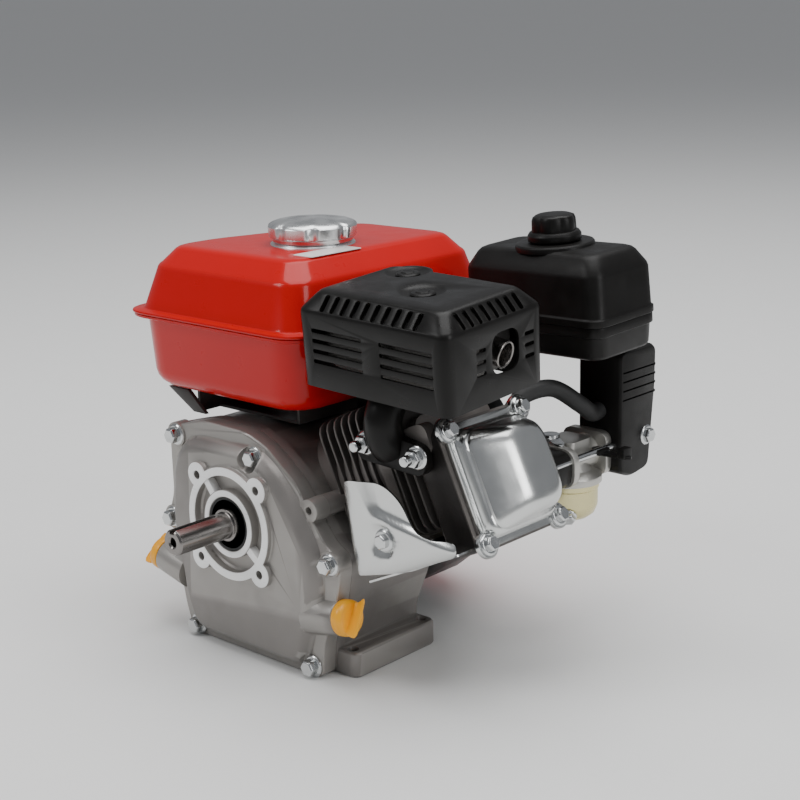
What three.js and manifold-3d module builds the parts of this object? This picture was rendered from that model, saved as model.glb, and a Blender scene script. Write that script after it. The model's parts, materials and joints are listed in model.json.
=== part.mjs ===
// Small four-stroke petrol engine with a horizontal output shaft.
// Millimetres, +Z up. Origin: base plane, under the crankshaft axis, half way along the feet.
// +X is the cylinder side, -Y is the output-shaft side, +Y is the flywheel side.
import * as THREE from 'three';
import { mergeVertices } from 'three/addons/utils/BufferGeometryUtils.js';
import Module from 'manifold-3d';

const wasm = await Module();
wasm.setup();

// ---- Driving dimensions -------------------------------------------------------------------
const gap = 0.3; // clearance between touching pieces
const flatness = 0.05; // facets closer together than this are merged
const shaftHeight = 106; // crankshaft axis above the base
const ptoFace = -74; // machined output flange
const shaftEnd = -127; // free end of the output shaft
const seam = -47; // joint between crankcase and side cover
const caseBack = 44.5; // rear wall of the crankcase
const rearBearingRadius = 33.7;
const starterBack = 183; // rearmost point, on the recoil starter
const ptoHoleOffset = 32.55; // four output-flange holes on a 92 mm circle
const cylinderTilt = THREE.MathUtils.degToRad(25);
const cylinderY = 14; // cylinder axis along the crankshaft
const boreRadius = 34;
const crankThrow = 22.5;
const deck = 132; // crank axis to cylinder deck
const headTop = 196; // crank axis to valve-cover joint
const coverMidHeight = -32; // valve-cover centre below the bore axis
const flywheelRadius = 82;
const fanCoverRadius = 95;
const camDistance = 52; // crank axis to camshaft axis
const camDrop = -46; // camshaft and push rods below the bore axis
const camAlong = Math.sqrt(camDistance ** 2 - camDrop ** 2);
const valveSpread = 14; // push rods and valves either side of the cylinder centre
const rockerPivotDrop = camDrop / 2;
const tank = { x0: -121, x1: 75, y0: -68, y1: 165 }; // outer edge of the seam flange
const tankHeights = { bottom: 194, belly: 204, flange: 253, shoulder: 290.5, top: 304 };
const tankSlant = { y: 4, x: -86 }; // the rear corner away from the cylinder is cut off between these
const capCentre = { x: -6, y: 32 };
const guard = { x: 145, y: -14.4, z: 225.9, width: 135.7, depth: 97.3, height: 67.8, chamfer: 12, wall: 2 };
const guardTilt = { x: 4.6, y: 1.5, z: -1 };
const airCleaner = { x: 157.8, y: 129, z: 228.5, width: 133, depth: 72, seam: 25, height: 76 };
const airCleanerTilt = { x: 3.1, y: -1.9, z: -3.9 };
const carburetor = { x: 178, y: 112, z: 148, front: 84, back: 138.7, bowlTop: 130, bowlBottom: 101 };
const footHoles = [[92, -37.75], [92, 37.75], [-70, -37.75], [-70, 37.75]];
const plugs = { right: { x: 106, y: -56, z: 53, lean: 10 }, left: { x: -100, y: -56, z: 56, lean: 170 } };
const plugRadius = 13.5;
const sideBoss = { x: 74, z: 128.4, radius: 8.5, hole: 3 };
const underTank = 192.5; // flat top of the fan cover
const starterPull = { x: -0.94, z: 0.342 }; // direction of the starter rope
const reelRadius = 35;
const starterY = 158;
const fuelTap = { x: 52, y: 139, z: 184 };

// ---- Helpers -------------------------------------------------------------------------------
function solid(geometry) {
  const bare = geometry.clone();
  bare.deleteAttribute('normal');
  bare.deleteAttribute('uv');
  const merged = mergeVertices(bare, 1e-4);
  const kept = [];
  const index = merged.index.array;
  for (let i = 0; i < index.length; i += 3) {
    const [a, b, c] = [index[i], index[i + 1], index[i + 2]];
    if (a !== b && b !== c && c !== a) kept.push(a, b, c);
  }
  return new wasm.Manifold(new wasm.Mesh({
    numProp: 3,
    vertProperties: merged.attributes.position.array,
    triVerts: new Uint32Array(kept),
  }));
}

function geometryOf(manifold) {
  const mesh = manifold.getMesh();
  const geometry = new THREE.BufferGeometry();
  geometry.setAttribute('position', new THREE.BufferAttribute(new Float32Array(mesh.vertProperties), 3));
  geometry.setIndex(new THREE.BufferAttribute(new Uint32Array(mesh.triVerts), 1));
  geometry.computeVertexNormals();
  return geometry;
}

function join(...geometries) {
  return geometries.map(solid).reduce((whole, next) => whole.add(next));
}

function cut(body, ...tools) {
  const start = body.isBufferGeometry ? solid(body) : body;
  return tools.map((tool) => (tool.isBufferGeometry ? solid(tool) : tool))
    .reduce((whole, tool) => whole.subtract(tool), start);
}

// A closed outline whose corners are rounded by cutting back the given distance.
function outline(points, corner = 0) {
  const shape = new THREE.Shape();
  points.forEach((point, i) => {
    const here = new THREE.Vector2(...point);
    const before = new THREE.Vector2(...points[(i + points.length - 1) % points.length]);
    const after = new THREE.Vector2(...points[(i + 1) % points.length]);
    const reach = (other) => Math.min(corner, 0.45 * here.distanceTo(other)) / here.distanceTo(other);
    const from = here.clone().lerp(before, reach(before));
    const to = here.clone().lerp(after, reach(after));
    if (i === 0) shape.moveTo(from.x, from.y);
    else shape.lineTo(from.x, from.y);
    if (corner > 0) shape.quadraticCurveTo(here.x, here.y, to.x, to.y);
  });
  shape.closePath();
  return shape;
}

function rectangle(x0, y0, x1, y1, corner = 0) {
  return outline([[x0, y0], [x1, y0], [x1, y1], [x0, y1]], corner);
}

function disc(radius, x = 0, y = 0) {
  const shape = new THREE.Shape();
  shape.absarc(x, y, radius, 0, Math.PI * 2, false);
  return shape;
}

// Extrusion along +Z from z0 to z1. A bevel { rise, inset } draws its end faces in from the outline;
// a bevel { rise, grow } widens its middle beyond the outline.
function slabZ(shape, z0, z1, bevel = null, curveSegments = 3) {
  const rise = bevel ? bevel.rise : 0;
  const geometry = new THREE.ExtrudeGeometry(shape, {
    depth: z1 - z0 - 2 * rise,
    bevelEnabled: rise > 0,
    bevelThickness: rise,
    bevelSize: bevel ? bevel.grow || bevel.inset : 0,
    bevelOffset: bevel && bevel.inset ? -bevel.inset : 0,
    bevelSegments: 1,
    curveSegments,
  });
  return geometry.translate(0, 0, z0 + rise);
}

// The outline's x, y become X, Z; the slab runs along Y.
function slabY(shape, y0, y1, bevel = null, curveSegments = 3) {
  return slabZ(shape, 0, y1 - y0, bevel, curveSegments).rotateX(Math.PI / 2).translate(0, y1, 0);
}

// The outline's x, y become Y, Z; the slab runs along X.
function slabX(shape, x0, x1, bevel = null, curveSegments = 3) {
  return slabZ(shape, x0, x1, bevel, curveSegments).rotateX(Math.PI / 2).rotateZ(Math.PI / 2);
}

function box(x0, x1, y0, y1, z0, z1) {
  return new THREE.BoxGeometry(x1 - x0, y1 - y0, z1 - z0)
    .translate((x0 + x1) / 2, (y0 + y1) / 2, (z0 + z1) / 2);
}

// A round bar or cone between two points.
function bar(from, to, radius, endRadius = radius, sides = 12) {
  const start = new THREE.Vector3(...from);
  const way = new THREE.Vector3(...to).sub(start);
  const turn = new THREE.Quaternion().setFromUnitVectors(new THREE.Vector3(0, 1, 0), way.clone().normalize());
  return new THREE.CylinderGeometry(endRadius, radius, way.length(), sides)
    .translate(0, way.length() / 2, 0)
    .applyQuaternion(turn)
    .translate(start.x, start.y, start.z);
}

// A solid of revolution about a line along Y; the profile lists [radius, y].
function turned(profile, x = 0, z = 0, sides = 20) {
  const points = profile.map(([radius, y]) => new THREE.Vector2(radius, y));
  return new THREE.LatheGeometry(points, sides).translate(x, 0, z);
}

// A round tube or hose whose centre line passes through the points.
function hose(points, radius, steps = 16, sides = 8) {
  const path = new THREE.CatmullRomCurve3(points.map((point) => new THREE.Vector3(...point)));
  const section = new THREE.Shape();
  section.absarc(0, 0, radius, 0, Math.PI * 2, false);
  return new THREE.ExtrudeGeometry(section, { steps, extrudePath: path, curveSegments: sides / 2 });
}

function gear(teeth, pitchRadius, y0, y1, boreRadiusMm, phase = 0) {
  const shape = new THREE.Shape();
  const profile = [[-0.08, 1], [0.08, 1], [0.5, -2]];
  for (let tooth = 0; tooth < teeth; tooth += 1) {
    profile.forEach(([across, out], i) => {
      const angle = ((tooth + phase + across * 0.92) / teeth) * Math.PI * 2;
      const radius = pitchRadius + out;
      const point = [radius * Math.cos(angle), radius * Math.sin(angle)];
      if (tooth === 0 && i === 0) shape.moveTo(...point);
      else shape.lineTo(...point);
    });
  }
  shape.closePath();
  return cut(slabY(shape, y0, y1), slabY(disc(boreRadiusMm), y0 - 1, y1 + 1, null, 8));
}

// ---- Finishes ------------------------------------------------------------------------------
const finish = (color, roughness, metalness) => ({ color, roughness, metalness });
const caseGrey = finish(0x86807b, 0.5, 0.6);
const finDark = finish(0x3a3331, 0.6, 0.5);
const steel = finish(0xb5b5b5, 0.3, 1);
const darkSteel = finish(0x57524f, 0.4, 1);
const zinc = finish(0xd9dbd9, 0.2, 1);
const satinBlack = finish(0x242322, 0.45, 0.1);
const tankRed = finish(0xc4120f, 0.2, 0.1);
const yellow = finish(0xfdb424, 0.4, 0);
const castIron = finish(0x4c4a48, 0.6, 0.8);
const rubber = finish(0x171717, 0.8, 0);
const brass = finish(0xd8c27e, 0.35, 0.9);

// ---- Scene graph ---------------------------------------------------------------------------
const engine = new THREE.Group();

// Frame along the bore: local +X points up the cylinder, local Y is the crankshaft direction.
const cylinder = new THREE.Group();
cylinder.position.set(0, cylinderY, shaftHeight);
cylinder.rotation.y = -cylinderTilt;
engine.add(cylinder);

function tilted(x, y, z, tilt) {
  const group = new THREE.Group();
  group.position.set(x, y, z);
  group.rotation.set(...['x', 'y', 'z'].map((axis) => THREE.MathUtils.degToRad(tilt[axis])), 'ZYX');
  engine.add(group);
  return group;
}
const guardFrame = tilted(guard.x, guard.y, guard.z, guardTilt);
const airFrame = tilted(airCleaner.x, airCleaner.y, airCleaner.z, airCleanerTilt);

function add(name, shape, look, parent = engine) {
  const body = shape.isBufferGeometry ? solid(shape) : shape;
  const geometry = geometryOf(body.simplify(flatness));
  const mesh = new THREE.Mesh(geometry, new THREE.MeshStandardMaterial(look));
  mesh.name = name;
  parent.add(mesh);
  return mesh;
}

// A point of the cylinder frame in engine coordinates.
function fromCylinder(along, across, up) {
  return [
    along * Math.cos(cylinderTilt) - up * Math.sin(cylinderTilt),
    cylinderY + across,
    shaftHeight + along * Math.sin(cylinderTilt) + up * Math.cos(cylinderTilt),
  ];
}
const camAxis = fromCylinder(camAlong, 0, camDrop);
const meshAngle = Math.atan2(camAxis[2] - shaftHeight, camAxis[0]); // from the crank axis to the cam axis

// ---- Crankcase and side cover --------------------------------------------------------------
const caseOutline = [
  [-64, 0], [-71, 20], [-74, 36], [-84, 90], [-86, 100], [-83, 118], [-83, 142], [-79, 163], [-66, 170],
  [-38, 177], [9, 176], [30, 169], [62, 145], [73, 126], [90, 104], [103, 98], [103, 84], [98, 60],
  [84, 27], [82, 0],
];
const cavityOutline = [
  [-52, 8], [-64, 24], [-68, 38], [-78, 98], [-76, 138], [-68, 155], [-56, 164], [-36, 170], [8, 169],
  [27, 162], [55, 140], [66, 122], [84, 98], [92, 82], [88, 66], [74, 52], [71, 30], [71, 8],
];
const coverBolts = [[-70, 161], [19.5, 158.6], [-79, 92], [94, 92], [-55.4, 8], [73, 8]];

// A point on a filler plug's axis, measured outward from its sealing face.
function onPlugAxis(plug, distance) {
  const lean = THREE.MathUtils.degToRad(plug.lean);
  return [plug.x + distance * Math.cos(lean), plug.y, plug.z + distance * Math.sin(lean)];
}

function toEngine(geometry) {
  return geometry.rotateY(-cylinderTilt).translate(0, cylinderY, shaftHeight);
}

function finnedBarrel() {
  const core = toEngine(bar([52, 0, 0], [deck, 0, 0], 43, 43, 20));
  const fins = [];
  for (let along = 86; along < deck; along += 10) {
    fins.push(toEngine(slabX(rectangle(-47, -46, 47, 48, 16), along, along + 2.4, null, 1)));
  }
  const tunnel = toEngine(slabX(rectangle(-22, -60, 22, -36, 8), 74, deck, null, 1));
  return [core, tunnel, ...fins];
}

function crankcase() {
  const feet = [[62, 102], [-81, -52]]
    .map(([x0, x1]) => slabZ(rectangle(x0, -45, x1, caseBack, 8), 0, 19, null, 1));
  const shell = cut(
    join(slabY(outline(caseOutline), seam, caseBack), ...feet),
    slabY(outline(cavityOutline), seam - 1, caseBack - 6),
  );
  const extra = join(
    ...finnedBarrel(),
    slabY(disc(rearBearingRadius + 4, 0, shaftHeight), caseBack - 7, caseBack + 12, null, 12),
    slabY(disc(12, camAxis[0], camAxis[2]), caseBack - 8, caseBack - 1, null, 6),
    ...coverBolts.map(([x, z]) => slabY(disc(8, x, Math.max(z, 8)), seam, seam + 16, null, 4)),
    bar([sideBoss.x, seam, sideBoss.z], [sideBoss.x, -20, sideBoss.z], sideBoss.radius),
  );
  const tools = [
    toEngine(bar([40, 0, 0], [deck + 1, 0, 0], boreRadius + 3 + gap, boreRadius + 3 + gap, 24)),
    slabY(disc(rearBearingRadius + gap, 0, shaftHeight), caseBack - 8, caseBack + 13, null, 12),
    slabY(disc(7.3, camAxis[0], camAxis[2]), caseBack - 9, caseBack - 5, null, 6),
    ...[-valveSpread, valveSpread]
      .map((y) => toEngine(bar([30, y, camDrop], [deck + 1, y, camDrop], 4.5, 4.5, 8))),
    ...coverBolts.map(([x, z]) => slabY(disc(3.5, x, Math.max(z, 8)), seam - 1, seam + 12, null, 3)),
    ...footHoles.map(([x, y]) => slabZ(disc(4.5, x, y), -1, 20, null, 5)),
  ];
  return cut(shell.add(extra), ...tools);
}

function ptoLugs(y0, y1, radius) {
  const places = [[-1, -1], [-1, 1], [1, -1], [1, 1]];
  return places.map(([a, b]) => slabY(
    disc(radius, a * ptoHoleOffset, shaftHeight + b * ptoHoleOffset), y0, y1, null, 4,
  ));
}

const coverFace = [
  [-46, 13], [-55, 30], [-67, 96], [-63, 138], [-54, 151], [-42, 158], [20, 159], [38, 149], [60, 126],
  [76, 98], [80, 70], [67, 30], [62, 13],
];

function sideCover() {
  const flange = slabY(outline(caseOutline), -60, seam - gap);
  const front = slabY(outline(coverFace), -70, -50, { rise: 8, grow: 8 });
  const boss = slabY(disc(44, 0, shaftHeight), ptoFace, -60, null, 12);
  const hub = slabY(disc(32, 0, shaftHeight), ptoFace, -50, null, 12);
  const plugPair = [plugs.right, plugs.left];
  const necks = cut(
    join(...plugPair
      .map((plug) => bar(onPlugAxis(plug, -36), onPlugAxis(plug, -5), plugRadius, plugRadius, 16))),
    box(-200, 200, seam - gap, 0, 0, 200),
  );
  const body = join(flange, front, boss, hub, ...ptoLugs(ptoFace, -60, 10),
    slabY(disc(sideBoss.radius, sideBoss.x, sideBoss.z), -60.5, seam - gap, null, 5),
    slabY(disc(12, camAxis[0], camAxis[2]), -66, seam - gap, null, 6)).add(necks);
  const pocket = cut(
    join(
      slabY(outline(cavityOutline), -56, seam + 1),
      slabY(outline(coverFace), -66, seam, { rise: 6, grow: 3 }),
    ),
    slabY(disc(32, 0, shaftHeight), ptoFace, -50, null, 12),
    slabY(disc(12, camAxis[0], camAxis[2]), -70, seam, null, 6),
  );
  const recess = cut(
    slabY(disc(37.5, 0, shaftHeight), ptoFace - 1, ptoFace + 5, null, 10),
    slabY(disc(26, 0, shaftHeight), ptoFace - 2, ptoFace + 9, null, 10),
  );
  return cut(body, pocket, recess,
    slabY(disc(26.15, 0, shaftHeight), -64.5, seam + 1, null, 12),
    slabY(disc(21, 0, shaftHeight), ptoFace - 1, -63, null, 10),
    slabY(disc(7.3, camAxis[0], camAxis[2]), -60, seam + 1, null, 6),
    ...ptoLugs(ptoFace - 1, -62, 3.4),
    ...plugPair.map((plug) => bar(onPlugAxis(plug, -46), onPlugAxis(plug, 0), 8)),
    slabY(disc(sideBoss.hole, sideBoss.x, sideBoss.z), -61, seam, null, 4),
    ...coverBolts.map(([x, z]) => slabY(disc(3.6, x, z), -80, seam + 1, null, 4)),
    ...coverBolts.map(([x, z]) => slabY(disc(8.2, x, z), -80, -60, null, 5)));
}

// A plain ring round the crankshaft, clear of it.
function sleeveRing(outer, y0, y1) {
  const inner = 12.8;
  return turned([[inner, y0], [outer, y0], [outer, y1], [inner, y1], [inner, y0]], 0, shaftHeight);
}

function coverBolt(x, z) {
  const hexagon = new THREE.CylinderGeometry(5.8, 5.8, 7, 6).translate(x, -65.8, z);
  return join(hexagon, bar([x, -62.3, z], [x, -60.3, z], 7.6),
    bar([x, -63, z], [x, -37, z], 2.9, 2.9, 6));
}

// ---- Cylinder, head and valve gear (cylinder frame) ----------------------------------------
// Two points on the spark plug's axis, measured outward from the combustion chamber.
function plugLine(from, to) {
  return [from, to].map((reach) => [deck + 12 + reach * 0.66, 0, 16 + reach * 0.75]);
}

function cylinderHead() {
  const chamberPlate = slabX(rectangle(-46, -54, 46, 40, 14), deck + gap, deck + 12, null, 1);
  const core = slabX(rectangle(-40, -58, 40, 24, 12), deck + 8, 172, null, 1);
  const rockerBox = slabX(rectangle(-46, -78, 46, 14, 12), 168, headTop, null, 2);
  const fins = [];
  for (let along = deck + 18; along < 168; along += 10) {
    fins.push(slabX(rectangle(-47, -54, 47, 37, 14), along, along + 2.2, null, 1));
  }
  const exhaustPort = bar([160, -20, 9], [160, -48, 9], 13);
  const exhaustPad = slabY(rectangle(134, -2, 188, 20, 8), -48, -40, null, 2);
  const intakePad = slabY(rectangle(150, -56, 186, -16, 8), 38, 48 - gap, null, 2);
  const body = join(chamberPlate, core, rockerBox, ...fins, exhaustPad, exhaustPort, intakePad);
  const well = slabX(rectangle(-38, -70, 38, 8, 8), 173.5, headTop + 1, null, 2);
  const valves = [-valveSpread, valveSpread].flatMap((y) => [
    bar([deck - 5, y, 0], [178, y, 0], 3.1, 3.1, 10),
    bar([deck - 5, y, camDrop], [178, y, camDrop], 4.5, 4.5, 10),
  ]);
  return cut(body, well, ...valves,
    bar([deck - 1, 0, 0], [deck + 8, 0, 0], boreRadius, boreRadius - 6, 24),
    bar(...plugLine(-4, 40), 6.5, 6.5, 12),
    bar(...plugLine(12.7, 60), 12, 12, 12),
    bar([160, -30, 9], [160, -60, 9], 10),
    bar([168, 30, -36], [168, 60, -36], 10));
}

function valveCover() {
  const lobes = [-39.5, 39.5].flatMap((y) => [coverMidHeight - 41, coverMidHeight + 41].map((z) => [y, z]));
  const z0 = coverMidHeight - 44;
  const z1 = coverMidHeight + 44;
  const x0 = headTop + gap;
  const outer = join(
    slabX(rectangle(-43, z0, 43, z1, 14), x0, x0 + 4, null, 3),
    ...lobes.map(([y, z]) => slabX(disc(9.5, y, z), x0, x0 + 4, null, 6)),
    slabX(rectangle(-37, z0 + 6, 37, z1 - 6, 12), x0 + 1 - 7, x0 + 13, { rise: 5, inset: 4 }, 3),
    slabX(rectangle(-22, z0 + 10, 34, z1 - 8, 18), x0 - 6, x0 + 28, { rise: 9, inset: 7 }, 3),
  );
  const below = box(headTop - 20, x0, -60, 60, -100, 40);
  const inner = join(
    slabX(rectangle(-34, z0 + 9, 34, z1 - 9, 10), x0 - 10, x0 + 10, { rise: 4, inset: 4 }, 3),
    slabX(rectangle(-19, z0 + 13, 31, z1 - 11, 16), x0 - 12, x0 + 25, { rise: 8, inset: 7 }, 3),
  );
  return cut(outer, below, inner);
}

function rocker(y) {
  const side = outline([
    [182, 4], [182, camDrop - 4], [190, camDrop - 4], [194, rockerPivotDrop], [190, 4],
  ], 4);
  const arm = slabY(side, y - 4, y + 4, null, 2);
  const pads = [0, camDrop].map((up) => bar([184, y - 4, up], [184, y + 4, up], 4.5, 4.5, 12));
  return cut(join(arm, ...pads), bar([188, y - 9, rockerPivotDrop], [188, y + 9, rockerPivotDrop], 3, 3, 10));
}

function valve(y) {
  return join(
    bar([deck + 4, y, 0], [deck + 7, y, 0], 11, 5),
    bar([deck + 6, y, 0], [179.2, y, 0], 2.75, 2.75, 8),
  );
}

function pushRod(y) {
  return join(
    bar([camAlong + 11.8, y, camDrop], [camAlong + 15, y, camDrop], 6, 6, 10),
    bar([camAlong + 14, y, camDrop], [179.2, y, camDrop], 2.8, 2.8, 8),
  );
}

function cylinderSleeve() {
  return cut(
    bar([50, 0, 0], [deck, 0, 0], boreRadius + 3, boreRadius + 3, 24),
    bar([49, 0, 0], [deck + 1, 0, 0], boreRadius, boreRadius, 24),
  );
}

function piston() {
  const body = bar([93, 0, 0], [130, 0, 0], boreRadius - gap, boreRadius - gap, 24);
  return cut(body, bar([92, 0, 0], [124, 0, 0], 29, 29, 16));
}

function connectingRod() {
  const small = slabY(disc(10, 106.5, 0), -9, 9, null, 8);
  const shank = slabY(outline([[44.5, -8], [100, -5], [100, 5], [44.5, 8]]), -5, 5);
  return join(small, shank);
}

// ---- Crankshaft and flywheel ---------------------------------------------------------------
function crankshaft() {
  const main = turned([
    [0, shaftEnd], [8.5, shaftEnd], [10, shaftEnd + 1.5], [10, -76], [12.5, -76], [12.5, -34], [15, -34],
    [15, -9], [0, -9],
  ], 0, shaftHeight);
  const rear = turned([
    [0, 37], [15, 37], [15, 39], [12.5, 39], [12.5, 60], [11, 62], [9, 100], [7, 100], [7, 112], [0, 112],
  ], 0, shaftHeight, 16);
  const web = outline([[37, -14], [37, 14], [8, 33], [-22, 30], [-36, 12], [-36, -12], [-22, -30], [8, -33]]);
  const webs = [[-9, 3.2], [24.8, 37]]
    .map(([y0, y1]) => toEngine(slabY(web, y0 - cylinderY, y1 - cylinderY)));
  const pin = toEngine(bar([crankThrow, 2 - cylinderY, 0], [crankThrow, 26 - cylinderY, 0], 14, 14, 16));
  const keyway = box(-2.4, 2.4, shaftEnd - 1, -85, shaftHeight + 7, shaftHeight + 12);
  const thread = bar([0, shaftEnd - 1, shaftHeight], [0, shaftEnd + 20, shaftHeight], 3.4, 3.4, 10);
  return cut(join(main, rear, ...webs, pin, crankGear()), keyway, thread);
}

function rodCap() {
  return cut(
    toEngine(slabY(outline([[2, -19], [42, -19], [42, 19], [2, 19]], 12), -9, 9, null, 3)),
    toEngine(bar([crankThrow, -12, 0], [crankThrow, 12, 0], 14.05, 14.05, 16)),
  );
}

function camshaft() {
  const spin = (geometry) => geometry.translate(camAxis[0], 0, camAxis[2]);
  const lobe = outline([[-8.5, -6], [-8.5, 6], [0, 8.5], [9, 4], [11, 0], [9, -4], [0, -8.5]], 4);
  const lobes = [-valveSpread, valveSpread].map((y, i) => spin(
    slabY(lobe, cylinderY + y - 4, cylinderY + y + 4, null, 2).rotateY(i * 1.9 + 2.2)));
  const wheel = gear(24, camDistance * 2 / 3, -44, -35, 5, 0.5);
  const shaft = turned([
    [0, -59], [7, -59], [7, -40], [7.5, -40], [7.5, 34], [7, 34], [7, 39], [0, 39],
  ], camAxis[0], camAxis[2], 12);
  const placed = spin(geometryOf(wheel).rotateY(-meshAngle));
  return join(shaft, ...lobes).add(solid(placed));
}

function crankGear() {
  const wheel = geometryOf(gear(12, camDistance / 3, -44, -35, 11));
  return wheel.rotateY(-meshAngle).translate(0, 0, shaftHeight);
}

function flywheel() {
  const rim = turned([
    [11.6, 62], [22, 60.5], [24, 70], [62, 74], [62, 62], [flywheelRadius, 62], [flywheelRadius, 92],
    [30, 92], [30, 98], [9.6, 98], [11.6, 62],
  ], 0, shaftHeight, 24);
  return solid(rim);
}

function coolingFan() {
  const plate = turned([[32, 92.3], [80, 92.3], [80, 94.8], [32, 94.8], [32, 92.3]], 0, shaftHeight, 24);
  const blades = [];
  const count = 12;
  for (let i = 0; i < count; i += 1) {
    const blade = box(46, 80, -1.1, 1.1, 0, 18).rotateX(-Math.PI / 2).translate(0, 94, 0);
    blade.rotateY((i / count) * Math.PI * 2).translate(0, 0, shaftHeight);
    blades.push(blade);
  }
  return join(plate, ...blades);
}

// ---- Fan cover and recoil starter ----------------------------------------------------------
const snout = outline([[20, 184], [115, 190], [144, 148], [114, 98], [78, 58]], 10);

function fanCover() {
  const back = 128;
  const outer = join(
    slabY(disc(fanCoverRadius, 0, shaftHeight), caseBack + gap, back, null, 16),
    slabY(snout, caseBack + 15, 104, { rise: 5, grow: 5 }, 2),
  );
  const inner = join(
    slabY(disc(fanCoverRadius - 2.5, 0, shaftHeight), caseBack - 1, back - 2.5, null, 16),
    slabY(snout, caseBack + 12, 101.5, { rise: 5, grow: 2.5 }, 2),
    slabY(disc(62, 0, shaftHeight), back - 10, back + 5, null, 14),
  );
  const above = (height) => box(-200, 200, 0, 200, height, 300);
  return cut(
    cut(outer, above(underTank)),
    cut(inner, above(underTank - 2.5)),
    box(-10, 200, caseBack - 2, caseBack + 21, 30, 215),
  );
}

function starterHousing() {
  const shell = turned([
    [0, 180.5], [29, 180.5], [60, 172], [77, 151], [77, 128.3], [84, 128.3], [84, 137], [80, 137], [80, 152],
    [62, 175], [30, starterBack], [0, starterBack],
  ], 0, shaftHeight, 20);
  const slots = [];
  for (let i = 0; i < 6; i += 1) {
    const slot = box(34, 58, 150, 200, -5, 5).rotateY((i / 6) * Math.PI * 2 + 0.13);
    slots.push(slot.translate(0, 0, shaftHeight));
  }
  const ropeHole = bar(ropePoint(50, 0), ropePoint(90, 0), 4.5, 4.5, 8);
  const spindle = bar([0, 181, shaftHeight], [0, 146, shaftHeight], 7);
  return cut(join(shell, spindle), ropeHole, ...slots);
}

// A point on the starter rope, measured from where it leaves the reel.
function ropePoint(along) {
  return [
    reelRadius * starterPull.z + along * starterPull.x,
    starterY,
    shaftHeight - reelRadius * starterPull.x + along * starterPull.z,
  ];
}

function starterReel() {
  return turned([
    [7.4, 150], [43, 150], [43, 153.5], [33, 153.5], [33, 162.5], [43, 162.5], [43, 166], [7.4, 166],
    [7.4, 150],
  ], 0, shaftHeight);
}

function starterHandle() {
  const collar = bar(ropePoint(80), ropePoint(92), 7, 9, 12);
  const middle = ropePoint(97);
  const bow = slabX(rectangle(-41, -5, 41, 5, 4), -6, 8, { rise: 3, grow: 3 }, 3)
    .rotateY(-Math.atan2(starterPull.z, starterPull.x)).translate(...middle);
  return join(collar, bow);
}

// ---- Fuel tank -----------------------------------------------------------------------------
const tankWall = 1.8;
const tankCorner = 28;

function tankOutline(inset, corner = tankCorner) {
  return outline([
    [tank.x0 + inset, tank.y0 + inset],
    [tank.x1 - inset, tank.y0 + inset],
    [tank.x1 - inset, tank.y1 - inset],
    [tankSlant.x + inset, tank.y1 - inset],
    [tank.x0 + inset, tankSlant.y],
  ], corner);
}

// The convex body round several outlines, each given with its height.
function hullOf(...levels) {
  const points = levels.flatMap(([shape, z]) => shape.getPoints(3).map(({ x, y }) => [x, y, z]));
  return wasm.Manifold.hull(points);
}

// A disc centred on the filler mouth; its two heights are above the top of the tank.
function onMouth(radius, z0, z1) {
  const { top } = tankHeights;
  return slabZ(disc(radius, capCentre.x, capCentre.y), top + z0, top + z1, null, 12);
}

function tankUpper() {
  const shell = (wall) => hullOf(
    [tankOutline(30 + wall, 14), tankHeights.top - wall],
    [tankOutline(17 + wall, 22), tankHeights.shoulder - wall / 2],
    [tankOutline(7 + wall), tankHeights.flange + gap - wall],
  );
  const rim = slabZ(tankOutline(0), tankHeights.flange + gap, tankHeights.flange + 3);
  const neck = onMouth(29, -3, 7);
  const mouth = onMouth(23, -8, 20);
  return cut(shell(0).add(join(rim, neck)), shell(tankWall), mouth);
}

function tankLower() {
  const shell = (wall) => hullOf(
    [tankOutline(18 + wall), tankHeights.bottom + wall],
    [tankOutline(11 + wall, 30), tankHeights.belly + wall / 2],
    [tankOutline(8 + wall), tankHeights.flange + wall],
  );
  const rim = slabZ(tankOutline(1), tankHeights.flange - 2.7, tankHeights.flange);
  return cut(shell(0).add(solid(rim)), shell(tankWall));
}

function fuelCap() {
  const shape = new THREE.Shape();
  const scallops = 8;
  for (let i = 0; i < scallops * 4; i += 1) {
    const angle = (i / (scallops * 4)) * Math.PI * 2;
    const radius = 30.5 + 1.2 * Math.cos(angle * scallops);
    if (i === 0) shape.moveTo(radius * Math.cos(angle), radius * Math.sin(angle));
    else shape.lineTo(radius * Math.cos(angle), radius * Math.sin(angle));
  }
  shape.closePath();
  const top = slabZ(shape, tankHeights.top + 8.5, tankHeights.top + 19.5, { rise: 3.5, grow: 4 })
    .translate(capCentre.x, capCentre.y, 0);
  return join(top, onMouth(22, -2, 10)).add(cut(onMouth(31.5, 3.5, 10), onMouth(29.5, 2, 7.4)));
}

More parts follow.
